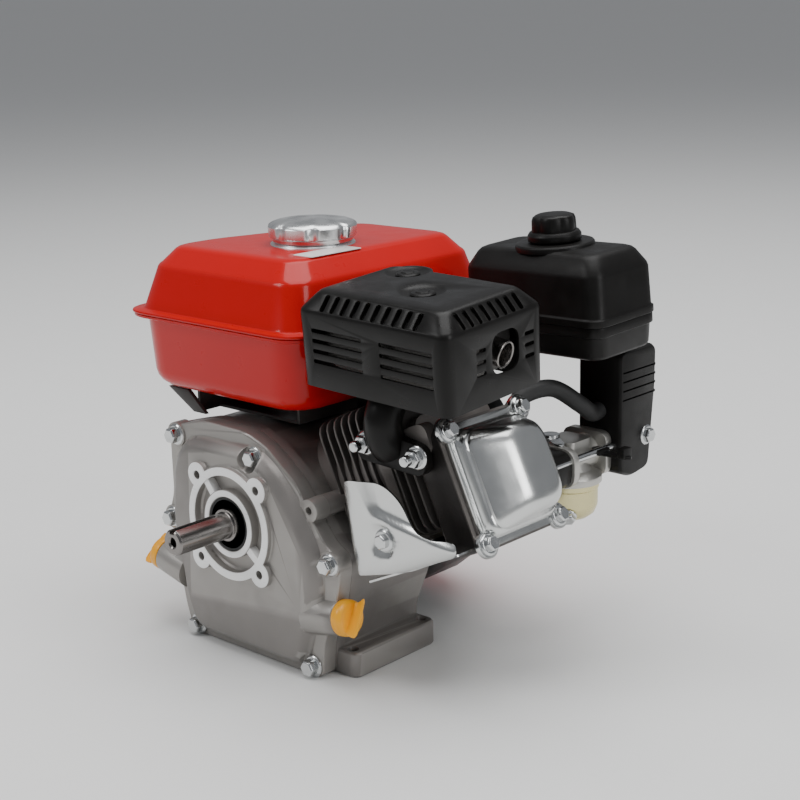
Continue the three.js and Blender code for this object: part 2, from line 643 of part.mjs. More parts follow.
// ---- Exhaust (guard frame: origin under the middle of the guard) ----------------------------
function mufflerGuard() {
  const [w, d] = [guard.width / 2, guard.depth / 2];
  const bevel = { rise: guard.chamfer, inset: guard.chamfer - 2 };
  const outer = slabZ(rectangle(-w, -d, w, d, 16), -30, guard.height, bevel, 3);
  const inner = slabZ(rectangle(-w + guard.wall, -d + guard.wall, w - guard.wall, d - guard.wall, 15), -34,
    guard.height - guard.wall, bevel, 3);
  const slots = [];
  for (let i = 0; i < 10; i += 1) {
    const x = -w + 22 + i * 9.6;
    slots.push(box(x, x + 4.6, -d - 2, -d + 9, guard.height - 13, guard.height - 3));
  }
  for (let i = 0; i < 8; i += 1) {
    const y = -d + 18 + i * 8.4;
    slots.push(box(w - 9, w + 2, y, y + 4.2, guard.height - 13, guard.height - 3));
  }
  for (let row = 0; row < 4; row += 1) {
    const z = 18 + row * 7.4;
    slots.push(box(-w + 12, -4, -d - 2, -d + 4, z, z + 2.4), box(8, w - 12, -d - 2, -d + 4, z, z + 2.4));
  }
  const outlet = box(w - 5, w + 5, -4, 22, 18, 46);
  return cut(outer, box(-200, 200, -200, 200, -60, 0), inner, outlet, ...slots);
}

function muffler() {
  const body = slabZ(rectangle(-58, -40, 52, 40, 14), 10, 58, { rise: 6, inset: 6 }, 3);
  const outlet = bar([45, 9, 32], [62, 9, 28], 8, 8, 14);
  return cut(join(body, outlet), bar([50, 9, 31], [66, 9, 27], 6.5, 6.5, 14));
}

function exhaustPipe() {
  const flangeY = cylinderY - 48 - gap;
  const plate = slabY(rectangle(106, 166, 171, 196, 14), flangeY - 8, flangeY, null, 3);
  const elbow = slabX(outline([
    [flangeY - 6, 170], [-50, 172], [-53, 186], [-46, 212], [-42, 231], [-17, 231], [-20, 214.5],
    [flangeY, 206], [flangeY, 170],
  ]), 122, 150, null, 1);
  return cut(join(plate, elbow), bar([136, flangeY + 1, 182], [136, flangeY - 12, 182], 9),
    bar([136, flangeY - 9, 178], [136, -28, 230], 7));
}

function cylinderShroud() {
  const face = outline([
    [94, -65], [111, -3], [119, 1], [149, -12], [165, -31], [165, -53], [163, -73], [144, -73],
  ], 8);
  return join(slabY(face, -70, -68, null, 2), box(99, 164, -69, 46, -73, -71));
}

// ---- Intake --------------------------------------------------------------------------------
function carburetorBody() {
  const { x, y, z, front, back } = carburetor;
  return cut(join(
    bar([x, front, z], [x, back, z], 14, 14, 20),
    slabY(rectangle(x - 26, z - 15, x + 26, z + 15, 12), front, front + 6, null, 3),
    slabY(disc(17, x, z), back - 7, back, null, 8),
    slabZ(disc(25, x, y), carburetor.bowlTop + gap, carburetor.bowlTop + 6, null, 9),
    slabZ(disc(12, x, y), carburetor.bowlTop + 2, z, null, 6),
  ), bar([x, front - 1, z], [x, back + 1, z], 10, 10, 16));
}

function floatBowl() {
  const { x, y, bowlTop, bowlBottom } = carburetor;
  const profile = [
    [0, bowlBottom], [8, bowlBottom], [19, bowlBottom + 5], [23, bowlBottom + 11], [23, bowlTop],
    [21.4, bowlTop], [21.4, bowlBottom + 12], [18, bowlBottom + 7], [8, bowlBottom + 2], [0, bowlBottom + 2],
  ].map(([radius, height]) => new THREE.Vector2(radius, height));
  return new THREE.LatheGeometry(profile, 24).rotateX(Math.PI / 2).translate(x, y, 0);
}

function intakeInsulator() {
  const { x, z, front } = carburetor;
  return cut(slabY(rectangle(x - 24, z - 14, x + 24, z + 14, 10), cylinderY + 48, front - gap, null, 3),
    bar([x, cylinderY + 40, z], [x, front + 5, z], 9.5, 9.5, 12));
}

function intakeElbow() {
  const y0 = carburetor.back + gap;
  const side = outline([
    [y0, 132], [y0, 226.5], [y0 + 46, 226.5], [y0 + 46, 192], [y0 + 38, 129], [y0 + 16, 126],
  ], 5);
  const { x, z } = carburetor;
  return cut(slabX(side, 168, 206, null, 2),
    bar([x, y0 - 1, z], [x, y0 + 14, z], 9.6),
    box(x - 7, x + 18, y0 + 8, y0 + 30, z - 12, 230));
}

function airCleanerBase() {
  const [w, d] = [airCleaner.width / 2, airCleaner.depth / 2];
  const outer = slabZ(rectangle(-w + 1, -d + 1, w - 1, d - 1, 12), 0, airCleaner.seam, null, 3);
  return cut(outer, slabZ(rectangle(-w + 4, -d + 4, w - 4, d - 4, 10), 3, airCleaner.seam + 1, null, 3),
    slabZ(rectangle(14, 16, 32, 30, 5), -1, 5, null, 2));
}

function airCleanerCover() {
  const [w, d] = [airCleaner.width / 2, airCleaner.depth / 2];
  const bevel = { rise: 14, inset: 8.5 };
  const outer = join(slabZ(rectangle(-w, -d, w, d, 14), airCleaner.seam - 30, airCleaner.height, bevel, 3),
    slabZ(disc(29, 0, 0), airCleaner.height - 3, airCleaner.height + 3, null, 10));
  const hollow = rectangle(-w + 2.5, -d + 2.5, w - 2.5, d - 2.5, 13);
  const inner = slabZ(hollow, airCleaner.seam - 33, airCleaner.height - 2.5, { rise: 14, inset: 8 }, 3);
  const below = box(-90, 90, -60, 60, -20, airCleaner.seam + gap);
  return cut(outer, below, inner, slabZ(disc(4.5), 50, 90, null, 5));
}

function airCleanerKnob() {
  const top = airCleaner.height + 3 + gap;
  const grip = [];
  const lobes = 3;
  for (let i = 0; i < lobes; i += 1) {
    grip.push(box(-17, 17, -4.5, 4.5, top + 6, top + 20).rotateZ((i / lobes) * Math.PI));
  }
  return join(
    slabZ(disc(20), top, top + 8, { rise: 2, inset: 2 }, 8),
    slabZ(disc(13), top + 5, top + 20, null, 8),
    ...grip,
    slabZ(disc(3.6), top - 24, top + 2, null, 5),
  );
}

function airFilter() {
  const ring = slabZ(rectangle(-52, -27, 52, 27, 10), 6, 46, null, 3);
  return cut(ring, slabZ(rectangle(-40, -15, 40, 15, 6), 5, 47, null, 3));
}

// ---- Small fittings ------------------------------------------------------------------------
function fillerPlug(plug, stickLength) {
  const at = (distance) => onPlugAxis(plug, distance);
  const wing = outline([[-12, -2.5], [12, -2.5], [12, 2.5], [-12, 2.5]], 2);
  const grip = slabZ(wing, 4, 15, null, 2).rotateY(Math.PI / 2).rotateX(0.5)
    .rotateY(-THREE.MathUtils.degToRad(plug.lean)).translate(plug.x, plug.y, plug.z);
  return join(
    bar(at(-4.5), at(5), plugRadius, plugRadius - 1, 20),
    grip,
    bar(at(-14), at(-4), 7.4),
    bar(at(-14 - stickLength), at(-13), 3, 3, 8),
  );
}

function controlPlate() {
  return join(box(84, 150, 66, 92, 203, 205), slabY(rectangle(90, 203.5, 126, 214, 4), 66, 68, null, 2));
}

// A flat lever turning about Z, with a hub and an upturned end.
function flatLever(x, y, z, length, heading, rise = 0) {
  const arm = outline([[-7, -6], [length, -4], [length + 4, 0], [length, 4], [-7, 6]], 4);
  const pieces = [slabZ(arm, 0, 2, null, 2), slabZ(disc(7), 0, 4, null, 6)];
  if (rise > 0) pieces.push(box(length - 6, length, -5, 5, 1, rise));
  return join(...pieces.map((piece) => piece.rotateZ(heading).translate(x, y, z)));
}

function fuelCock() {
  const { x, y, z } = fuelTap;
  return join(
    slabZ(disc(7, x, y), z - 7, tankHeights.bottom - gap, null, 6),
    bar([x - 10, y, z], [x + 12, y, z], 5, 5, 12),
  );
}

function fuelCockLever() {
  const { y, z } = fuelTap;
  const x = fuelTap.x + 12 + gap;
  return join(
    bar([x, y, z], [x + 5, y, z], 6, 6, 12),
    slabX(rectangle(y - 3, z - 18, y + 3, z, 2.5), x + 1, x + 4.5, null, 2),
  );
}

function sparkPlug() {
  return join(
    bar(...plugLine(-1, 14), 6.2, 6.2, 12),
    bar(...plugLine(13, 19), 10, 10, 6),
    bar(...plugLine(18, 27), 4.5, 4, 10),
  );
}

function plugBoot() {
  const sleeve = bar(...plugLine(19 + gap, 33), 7.5, 8.5, 14);
  const lead = hose([plugLine(27, 29)[1], [160, 14, 42], [151, 34, 43], [142, 48, 42]], 3.5, 8, 8);
  return cut(join(sleeve, lead), bar(...plugLine(18, 28), 4.8, 4.4, 10));
}

function ignitionCoil() {
  const block = join(
    box(84.5, 90, -18, -10, 68, 84),
    box(84.5, 90, 10, 18, 68, 84),
    box(89, 110, -18, 18, 68, 84),
    box(92, 107, -14, 14, 66, 92),
  );
  // The coil is drawn about the crank axis with Z along the shaft, then swung into place.
  const swing = THREE.MathUtils.degToRad(-38);
  return geometryOf(block).rotateX(-Math.PI / 2).rotateY(swing).translate(0, 0, shaftHeight);
}

function breatherHose() {
  return hose([
    [164, 60.6, 192], [165, 74, 201], [176, 94, 204], [187, 113, 190], [187, 128, 180], [187, 138.4, 180],
  ], 6.5, 14, 8);
}

function tankBracket() {
  const caseTop = 177.3;
  const under = tankHeights.bottom - gap;
  const strap = slabY(outline([[-93, under], [-70, under], [-50, caseTop], [-64, caseTop]]), -47, -43.5);
  return join(
    box(-62, 30, -24, 38, caseTop, caseTop + 2.5),
    box(-62, -59.5, -44, 38, caseTop, under),
    box(27.5, 30, -24, 38, caseTop, under),
    box(-62, 30, -24, 38, under - 2.5, under),
    strap,
  );
}

function stopSwitchHousing() {
  return box(-105, -90, 78, 108, 112, 140);
}

function stopSwitchKnob() {
  return join(bar([-105 - gap, 93, 126], [-110, 93, 126], 10, 10, 16), box(-115, -109, 90.5, 95.5, 117, 135));
}

// ---- Assembly ------------------------------------------------------------------------------
add('crankcase', crankcase(), caseGrey);
add('side_cover', sideCover(), caseGrey);
coverBolts.forEach(([x, z], i) => add(`side_cover_bolt_${i + 1}`, coverBolt(x, z), zinc));
add('pto_oil_seal', sleeveRing(20.6, -73.5, -67), rubber);
add('pto_bearing', sleeveRing(25.8, -64, -49.5), steel);
add('flywheel_bearing', sleeveRing(rearBearingRadius, 40.5, 55), steel);
add('oil_dipstick', fillerPlug(plugs.right, 24), yellow);
add('oil_filler_plug', fillerPlug(plugs.left, 2), yellow);

add('cylinder_sleeve', cylinderSleeve(), castIron, cylinder);
add('cylinder_head', cylinderHead(), finDark, cylinder);
add('valve_cover', valveCover(), zinc, cylinder);
add('piston', piston(), steel, cylinder);
add('connecting_rod', connectingRod(), steel, cylinder);
['intake', 'exhaust'].forEach((side, i) => {
  const y = i === 0 ? valveSpread : -valveSpread;
  add(`${side}_rocker`, rocker(y), steel, cylinder);
  add(`${side}_valve`, valve(y), darkSteel, cylinder);
  add(`${side}_push_rod`, pushRod(y), steel, cylinder);
});
add('spark_plug', sparkPlug(), steel, cylinder);
add('spark_plug_boot', plugBoot(), rubber, cylinder);
add('cylinder_shroud', cylinderShroud(), zinc, cylinder);

add('crankshaft', crankshaft(), darkSteel);
add('big_end_bearing', rodCap(), steel);
add('camshaft', camshaft(), castIron);
add('flywheel', flywheel(), castIron);
add('cooling_fan', coolingFan(), satinBlack);
add('ignition_coil', ignitionCoil(), satinBlack);
add('fan_cover', fanCover().add(solid(stopSwitchHousing())), satinBlack);
add('stop_switch', stopSwitchKnob(), satinBlack);
add('starter_housing', starterHousing(), tankRed);
add('starter_reel', starterReel(), satinBlack);
add('starter_handle', starterHandle(), satinBlack);

add('fuel_tank_upper', tankUpper(), tankRed);
add('fuel_tank_lower', tankLower(), tankRed);
add('fuel_cap', fuelCap(), zinc);
add('tank_bracket', tankBracket(), caseGrey);
add('fuel_cock', fuelCock(), zinc);
add('fuel_cock_lever', fuelCockLever(), satinBlack);

add('muffler_guard', mufflerGuard(), satinBlack, guardFrame);
add('muffler', muffler(), darkSteel, guardFrame);
add('exhaust_pipe', exhaustPipe(), satinBlack);

add('intake_insulator', intakeInsulator(), satinBlack);
add('carburetor', carburetorBody(), steel);
add('float_bowl', floatBowl(), brass);
add('throttle_arm', flatLever(carburetor.x - 8, 100, 163, 22, -0.6), zinc);
add('choke_lever', flatLever(carburetor.x + 22, 122, 152, 24, 0, 8), satinBlack);
add('intake_elbow', intakeElbow(), satinBlack);
add('breather_hose', breatherHose(), rubber);
add('air_cleaner_base', airCleanerBase(), satinBlack, airFrame);
add('air_filter', airFilter(), yellow, airFrame);
add('air_cleaner_cover', airCleanerCover(), satinBlack, airFrame);
add('air_cleaner_knob', airCleanerKnob(), satinBlack, airFrame);
add('control_plate', controlPlate(), zinc);
add('throttle_lever', flatLever(98, 78, 206, 56, 0.1, 12), satinBlack);

export default engine;
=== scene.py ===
"""Looks of a small petrol engine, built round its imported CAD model.

Shapes are drawn in millimetres and become metres when they are made.
"""

import json
import math

import bmesh
import bpy
from mathutils import Euler, Matrix, Vector


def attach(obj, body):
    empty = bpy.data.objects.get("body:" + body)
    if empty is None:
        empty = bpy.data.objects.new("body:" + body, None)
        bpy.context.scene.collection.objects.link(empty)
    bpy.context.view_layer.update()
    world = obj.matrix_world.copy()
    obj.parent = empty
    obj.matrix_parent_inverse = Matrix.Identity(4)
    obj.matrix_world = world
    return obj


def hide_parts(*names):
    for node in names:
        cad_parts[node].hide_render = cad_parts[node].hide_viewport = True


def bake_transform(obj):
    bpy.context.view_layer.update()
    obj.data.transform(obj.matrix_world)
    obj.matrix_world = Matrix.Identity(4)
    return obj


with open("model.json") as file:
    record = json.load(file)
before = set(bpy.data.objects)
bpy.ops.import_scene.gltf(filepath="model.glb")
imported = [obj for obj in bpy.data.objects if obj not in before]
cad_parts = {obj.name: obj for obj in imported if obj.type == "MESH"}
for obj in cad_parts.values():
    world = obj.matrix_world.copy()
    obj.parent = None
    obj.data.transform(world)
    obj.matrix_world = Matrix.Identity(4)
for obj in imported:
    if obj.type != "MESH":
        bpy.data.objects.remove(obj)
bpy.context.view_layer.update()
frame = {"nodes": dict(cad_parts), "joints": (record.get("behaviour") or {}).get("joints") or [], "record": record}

MM = 0.001
GUARD_TURN = (4.6, 1.5, -1.0)  # the exhaust guard's lean about X, Y and Z, in degrees
AIR_TURN = (3.1, -1.9, -3.9)  # the air cleaner's lean
BORE_TURN = (0.0, -25.0, 0.0)  # local X runs up the cylinder
PHOTO_AZIMUTH, PHOTO_ELEVATION, PHOTO_ROLL = 42.681, 14.511, -1.356
CAMERA_PLACE = Vector((0.84393, -0.79557, 0.48431))
CAMERA_LENS = 69.94
TANK_SLANT = (-86, 4)  # the rear-left tank corner is cut off from this X to this Y
FUEL_CAP = (-6, 32)
PLUG_SEATS = {"oil_dipstick": (106, 53), "oil_filler_plug": (-100, 56)}  # X and Z of each plug's sealing face
PLUG_Y = -56
ROPE_RADIUS = 35  # the rope leaves the reel at this radius
EAR = (74, 128.4)  # X and Z of the drilled ear beside the side cover


# ---- Geometry helpers ------------------------------------------------------------------------
def turn_of(degrees):
    return Euler([math.radians(d) for d in degrees], "XYZ").to_matrix().to_4x4()


GUARD, AIR, BORE = turn_of(GUARD_TURN), turn_of(AIR_TURN), turn_of(BORE_TURN)


def box_mm(node, turn=None):
    """A CAD node's corners in millimetres, measured along the axes of a turned frame."""
    back = turn.inverted() if turn else Matrix.Identity(4)
    points = [back @ v.co for v in frame["nodes"][node].data.vertices]
    low = Vector([min(p[i] for p in points) for i in range(3)]) / MM
    high = Vector([max(p[i] for p in points) for i in range(3)]) / MM
    return low, high


def make(name, verts, faces):
    mesh = bpy.data.meshes.new(name)
    mesh.from_pydata([Vector(v) * MM for v in verts], [], faces)
    bm = bmesh.new()
    bm.from_mesh(mesh)
    bmesh.ops.remove_doubles(bm, verts=bm.verts, dist=1e-6)
    bmesh.ops.recalc_face_normals(bm, faces=bm.faces)
    bm.to_mesh(mesh)
    bm.free()
    obj = bpy.data.objects.new(name, mesh)
    bpy.context.scene.collection.objects.link(obj)
    return obj


def loft(rings, name="part"):
    """A closed body through rings of equal length, with its two ends filled."""
    count = len(rings[0])
    verts = [p for ring in rings for p in ring]
    faces = []
    for r in range(len(rings) - 1):
        for i in range(count):
            j = (i + 1) % count
            faces.append((r * count + i, r * count + j, (r + 1) * count + j, (r + 1) * count + i))
    faces.append(tuple(range(count - 1, -1, -1)))
    faces.append(tuple((len(rings) - 1) * count + i for i in range(count)))
    return make(name, verts, faces)


def rounded(points, radius, steps=5):
    """An outline with its corners rounded."""
    result = []
    for i, here in enumerate(points):
        here = Vector(here)
        before, after = Vector(points[i - 1]), Vector(points[(i + 1) % len(points)])
        start = here.lerp(before, min(radius, 0.48 * (before - here).length) / (before - here).length)
        end = here.lerp(after, min(radius, 0.48 * (after - here).length) / (after - here).length)
        for s in range(steps + 1):
            t = s / steps
            result.append(start * (1 - t) ** 2 + here * 2 * t * (1 - t) + end * t ** 2)
    return [tuple(p) for p in result]


def rect(x0, y0, x1, y1, radius, steps=7):
    return rounded([(x0, y0), (x1, y0), (x1, y1), (x0, y1)], max(radius, 0.01), steps)


def circle(radius, x=0.0, y=0.0, count=48):
    return [(x + radius * math.cos(2 * math.pi * i / count), y + radius * math.sin(2 * math.pi * i / count))
            for i in range(count)]


PLANES = {
    "z": lambda a, b, along: (a, b, along),
    "y": lambda a, b, along: (a, along, b),
    "x": lambda a, b, along: (along, a, b),
}


def ring(points, along, axis="z"):
    return [PLANES[axis](a, b, along) for a, b in points]


def slab(points, low, high, axis="z"):
    return loft([ring(points, low, axis), ring(points, high, axis)])


def tray(low, high, levels, axis="z", steps=7):
    """A body of rounded rectangles; each level is (along, inset, corner radius)."""
    return loft([
        ring(rect(low[0] + inset, low[1] + inset, high[0] - inset, high[1] - inset, corner, steps), along,
             axis)
        for along, inset, corner in levels
    ])


def lathe(profile, place=(0, 0, 0), towards=(0, 0, 1), count=64):
    """A turned body: profile lists (radius, distance along the axis) from end to end."""
    aim = Vector(towards).normalized().to_track_quat("Z", "Y").to_matrix()
    rings = []
    for radius, along in profile:
        rings.append([tuple(aim @ Vector((a, b, along)) + Vector(place))
                      for a, b in circle(max(radius, 0.01), count=count)])
    return loft(rings)


def rod(start, end, radius, end_radius=None, count=32):
    way = Vector(end) - Vector(start)
    tip = radius if end_radius is None else end_radius
    return lathe([(radius, 0), (tip, way.length)], start, way, count)


def tube(points, radius, name="tube", count=20, samples=8):
    """A round hose along a smooth curve through the points."""
    knots = [Vector(p) for p in points]
    path = []
    for i in range(len(knots) - 1):
        p0, p1, p2, p3 = knots[max(i - 1, 0)], knots[i], knots[i + 1], knots[min(i + 2, len(knots) - 1)]
        for s in range(samples):
            t = s / samples
            path.append(0.5 * (2 * p1 + (p2 - p0) * t + (2 * p0 - 5 * p1 + 4 * p2 - p3) * t ** 2
                               + (3 * p1 - p0 - 3 * p2 + p3) * t ** 3))
    path.append(knots[-1])
    side = Vector((0, 0, 1)) if abs((path[1] - path[0]).normalized().z) < 0.9 else Vector((1, 0, 0))
    rings = []
    for i, point in enumerate(path):
        along = (path[min(i + 1, len(path) - 1)] - path[max(i - 1, 0)]).normalized()
        side = (side - along * side.dot(along)).normalized()
        other = along.cross(side)
        rings.append([tuple(point + side * a + other * b) for a, b in circle(radius, count=count)])
    return loft(rings, name)


def bake(obj):
    """Applies an object's modifiers."""
    bpy.context.view_layer.update()
    evaluated = obj.evaluated_get(bpy.context.evaluated_depsgraph_get())
    mesh = bpy.data.meshes.new_from_object(evaluated)
    obj.modifiers.clear()
    obj.data = mesh
    return obj


def combine(base, others, operation):
    for other in others:
        modifier = base.modifiers.new("combine", "BOOLEAN")
        modifier.operation = operation
        modifier.object = other
        modifier.solver = "EXACT"
        bake(base)
        bpy.data.objects.remove(other)
    return base


def join(*parts):
    return combine(parts[0], parts[1:], "UNION")


def cut(base, *tools):
    return combine(base, tools, "DIFFERENCE")


def gather(*parts):
    """Several separate bodies as one object."""
    base = parts[0]
    bm = bmesh.new()
    for part in parts:
        bm.from_mesh(part.data)
    bm.to_mesh(base.data)
    bm.free()
    for part in parts[1:]:
        bpy.data.objects.remove(part)
    return base


def copy_of(node):
    """A CAD node's mesh as a new object, with its flat faces whole again."""
    mesh = frame["nodes"][node].data.copy()
    bm = bmesh.new()
    bm.from_mesh(mesh)
    bmesh.ops.remove_doubles(bm, verts=bm.verts, dist=1e-6)
    bmesh.ops.dissolve_limit(bm, angle_limit=math.radians(0.5), verts=bm.verts, edges=bm.edges)
    bm.to_mesh(mesh)
    bm.free()
    obj = bpy.data.objects.new(node, mesh)
    bpy.context.scene.collection.objects.link(obj)
    return obj


def show(obj, name, look, body="block", stands_for=(), turn=None, edge=0.5, angle=32):
    """Finishes a piece: softened edges, smooth shading, material, body, and hides the CAD nodes it stands for."""
    obj.name = name
    if turn:
        obj.data.transform(turn)
    if edge:
        modifier = obj.modifiers.new("edges", "BEVEL")
        modifier.width = edge * MM
        modifier.segments = 2
        modifier.limit_method = "ANGLE"
        modifier.angle_limit = math.radians(angle)
        modifier.use_clamp_overlap = True
        bake(obj)
    obj.data.shade_smooth()
    obj.data.set_sharp_from_angle(angle=math.radians(angle))
    obj.data.materials.clear()
    obj.data.materials.append(look)
    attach(obj, body)
    if stands_for:
        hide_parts(*stands_for)
    return obj


# ---- Materials -------------------------------------------------------------------------------
def material(name, color, metallic, roughness, *, grain=600.0, bump=0.05, blotch=0.06, edge=0.0,
             edge_color=(0.8, 0.8, 0.8), rough_vary=0.08, coat=0.0, stretch=(1, 1, 1), specular=0.5):
    """A surface with blotchy tone, uneven gloss, fine grain, and optional lighter edges, standing both for rubbed
    wear and for a painted highlight.
    """
    made = bpy.data.materials.new(name)
    made.use_nodes = True
    nodes, links = made.node_tree.nodes, made.node_tree.links
    shader = nodes["Principled BSDF"]
    shader.inputs["Metallic"].default_value = metallic
    shader.inputs["Coat Weight"].default_value = coat
    shader.inputs["Coat Roughness"].default_value = 0.08
    shader.inputs["Specular IOR Level"].default_value = specular
    place = nodes.new("ShaderNodeTexCoord")
    scale = nodes.new("ShaderNodeMapping")
    scale.inputs["Scale"].default_value = stretch
    links.new(place.outputs["Object"], scale.inputs["Vector"])

    def noise(size, detail):
        node = nodes.new("ShaderNodeTexNoise")
        node.inputs["Scale"].default_value = size
        node.inputs["Detail"].default_value = detail
        links.new(scale.outputs["Vector"], node.inputs["Vector"])
        return node

    def ramp(source, low, high, start=0.3, end=0.7):
        node = nodes.new("ShaderNodeMapRange")
        node.inputs["From Min"].default_value = start
        node.inputs["From Max"].default_value = end
        node.inputs["To Min"].default_value = low
        node.inputs["To Max"].default_value = high
        links.new(source, node.inputs["Value"])
        return node.outputs["Result"]

    cloud, fine = noise(22, 4), noise(grain, 3)
    tone = nodes.new("ShaderNodeMix")
    tone.data_type = "RGBA"
    tone.inputs["A"].default_value = (*[c * (1 - blotch) for c in color], 1)
    tone.inputs["B"].default_value = (*[min(1, c * (1 + blotch)) for c in color], 1)
    links.new(cloud.outputs["Fac"], tone.inputs["Factor"])
    surface = tone.outputs["Result"]
    # Convex edges are painted lighter: partly rubbed wear, partly a painted highlight where edges catch the light.
    if edge:
        geometry = nodes.new("ShaderNodeNewGeometry")
        worn_and_lit_edges = nodes.new("ShaderNodeMix")
        worn_and_lit_edges.data_type = "RGBA"
        links.new(ramp(geometry.outputs["Pointiness"], 0, edge, 0.53, 0.60), worn_and_lit_edges.inputs["Factor"])
        links.new(surface, worn_and_lit_edges.inputs["A"])
        worn_and_lit_edges.inputs["B"].default_value = (*edge_color, 1)
        surface = worn_and_lit_edges.outputs["Result"]
    links.new(surface, shader.inputs["Base Color"])
    links.new(ramp(noise(70, 5).outputs["Fac"], roughness - rough_vary, roughness + rough_vary),
              shader.inputs["Roughness"])
    relief = nodes.new("ShaderNodeBump")
    relief.inputs["Strength"].default_value = bump
    relief.inputs["Distance"].default_value = 0.0006
    links.new(fine.outputs["Fac"], relief.inputs["Height"])
    links.new(relief.outputs["Normal"], shader.inputs["Normal"])
    return made


CASE = material("case_casting", (0.235, 0.22, 0.208), 0.45, 0.38, grain=900, bump=0.2, blotch=0.12,
                edge=0.4, edge_color=(0.5, 0.48, 0.45))
# The fin casting is coloured near-black as painted shade between the fins, and its edges are painted lighter as a
# painted highlight.
PAINTED_SHADE_FINS = material("fin_casting_painted_shade", (0.024, 0.021, 0.02), 0.4, 0.42, grain=700, bump=0.25, blotch=0.2,
                edge=0.7, edge_color=(0.34, 0.31, 0.29))
MACHINED = material("machined_face", (0.97, 0.97, 0.96), 0.1, 0.34, grain=260, bump=0.06,
                    stretch=(1, 1, 14), blotch=0.03)
ZINC = material("zinc_plate", (0.62, 0.63, 0.63), 1.0, 0.2, grain=300, bump=0.04, blotch=0.07)
CHROME = material("bright_plate", (0.64, 0.65, 0.64), 1.0, 0.22, grain=60, bump=0.05, blotch=0.03,
                  rough_vary=0.04)
SATIN = material("satin_plate", (0.74, 0.75, 0.75), 1.0, 0.3, grain=420, bump=0.05, blotch=0.04)
STEEL = material("ground_steel", (0.56, 0.55, 0.54), 1.0, 0.25, grain=380, bump=0.06, stretch=(1, 12, 1))
SHAFT = material("dark_steel", (0.24, 0.225, 0.215), 1.0, 0.24, grain=420, bump=0.02, stretch=(1, 0.1, 1))
IRON = material("cast_iron", (0.12, 0.115, 0.11), 0.7, 0.55, grain=500, bump=0.4, blotch=0.15)
RED = material("red_paint", (0.5, 0.0012, 0.0012), 0.0, 0.3, grain=170, bump=0.02, blotch=0.03, coat=0.35,
               rough_vary=0.03, specular=0.12)
# Near-black bracket colour: painted shade, standing in for the shadow in the gap under the tank.
BRACKET_SHADE_PAINT = material("grey_paint", (0.05, 0.047, 0.045), 0.2, 0.42, grain=500, bump=0.12)
BLACK = material("black_paint", (0.006, 0.0055, 0.005), 0.0, 0.34, grain=1300, bump=0.1, blotch=0.15,
                 specular=0.22)
PLASTIC = material("black_plastic", (0.006, 0.0055, 0.005), 0.0, 0.4, grain=1600, bump=0.14, blotch=0.12,
                   specular=0.2)
RUBBER = material("rubber", (0.012, 0.012, 0.012), 0.0, 0.6, grain=800, bump=0.15, blotch=0.2)
YELLOW = material("yellow_plastic", (0.98, 0.42, 0.006), 0.0, 0.33, grain=700, bump=0.06, blotch=0.05)
ZAMAK = material("carburetor_casting", (0.5, 0.49, 0.46), 0.85, 0.38, grain=700, bump=0.25, blotch=0.1)
BOWL = material("yellow_passivate", (0.66, 0.6, 0.33), 0.9, 0.28, grain=200, bump=0.05, blotch=0.14)
PAPER = material("filter_paper", (0.7, 0.5, 0.14), 0.0, 0.85, grain=900, bump=0.4, blotch=0.15)
ROPE = material("braided_rope", (0.03, 0.03, 0.032), 0.0, 0.75, grain=1500, bump=0.6, blotch=0.25)
LABEL = material("blank_label", (0.75, 0.72, 0.7), 0.1, 0.35, grain=300, bump=0.02, blotch=0.03)


# ---- Fasteners -------------------------------------------------------------------------------
def hex_head(place, out, across=10.0, height=6.5, flange=8.0, shank=0.0):
    """A hexagon head with a domed top, standing on a round flange."""
    aim = Vector(out).normalized()
    start = Vector(place)
    head = lathe([(across * 0.577, 1.6), (across * 0.577, height - 1.2), (across * 0.48, height),
                  (across * 0.3, height - 0.3)],
                 start, aim, 6)
    seat = lathe([(flange, 0), (flange, 0.9), (flange * 0.86, 1.9), (flange * 0.6, 2.1)], start, aim, 40)
    parts = [head, seat]
    if shank:
        parts.append(rod(start - aim * shank, start + aim, 2.9, count=20))
    return gather(*parts)


def stud_nut(place, out, length=7.0):
    aim = Vector(out).normalized()
    start = Vector(place)
    nut = hex_head(place, out, across=12, height=8, flange=9)
    stud = lathe([(4, 6), (4, 8 + length - 1), (3.2, 8 + length)], start, aim, 24)
    return gather(nut, stud)


# ---- Fuel tank -------------------------------------------------------------------------------
def tank_ring(inset, corner, height):
    """The five-cornered tank outline, drawn in from its flange by the inset."""
    low, high = box_mm("fuel_tank_upper")
    points = [(low.x + inset, low.y + inset), (high.x - inset, low.y + inset),
              (high.x - inset, high.y - inset),
              (TANK_SLANT[0] + inset, high.y - inset), (low.x + inset, TANK_SLANT[1])]
    return ring(rounded(points, corner, 9), height)


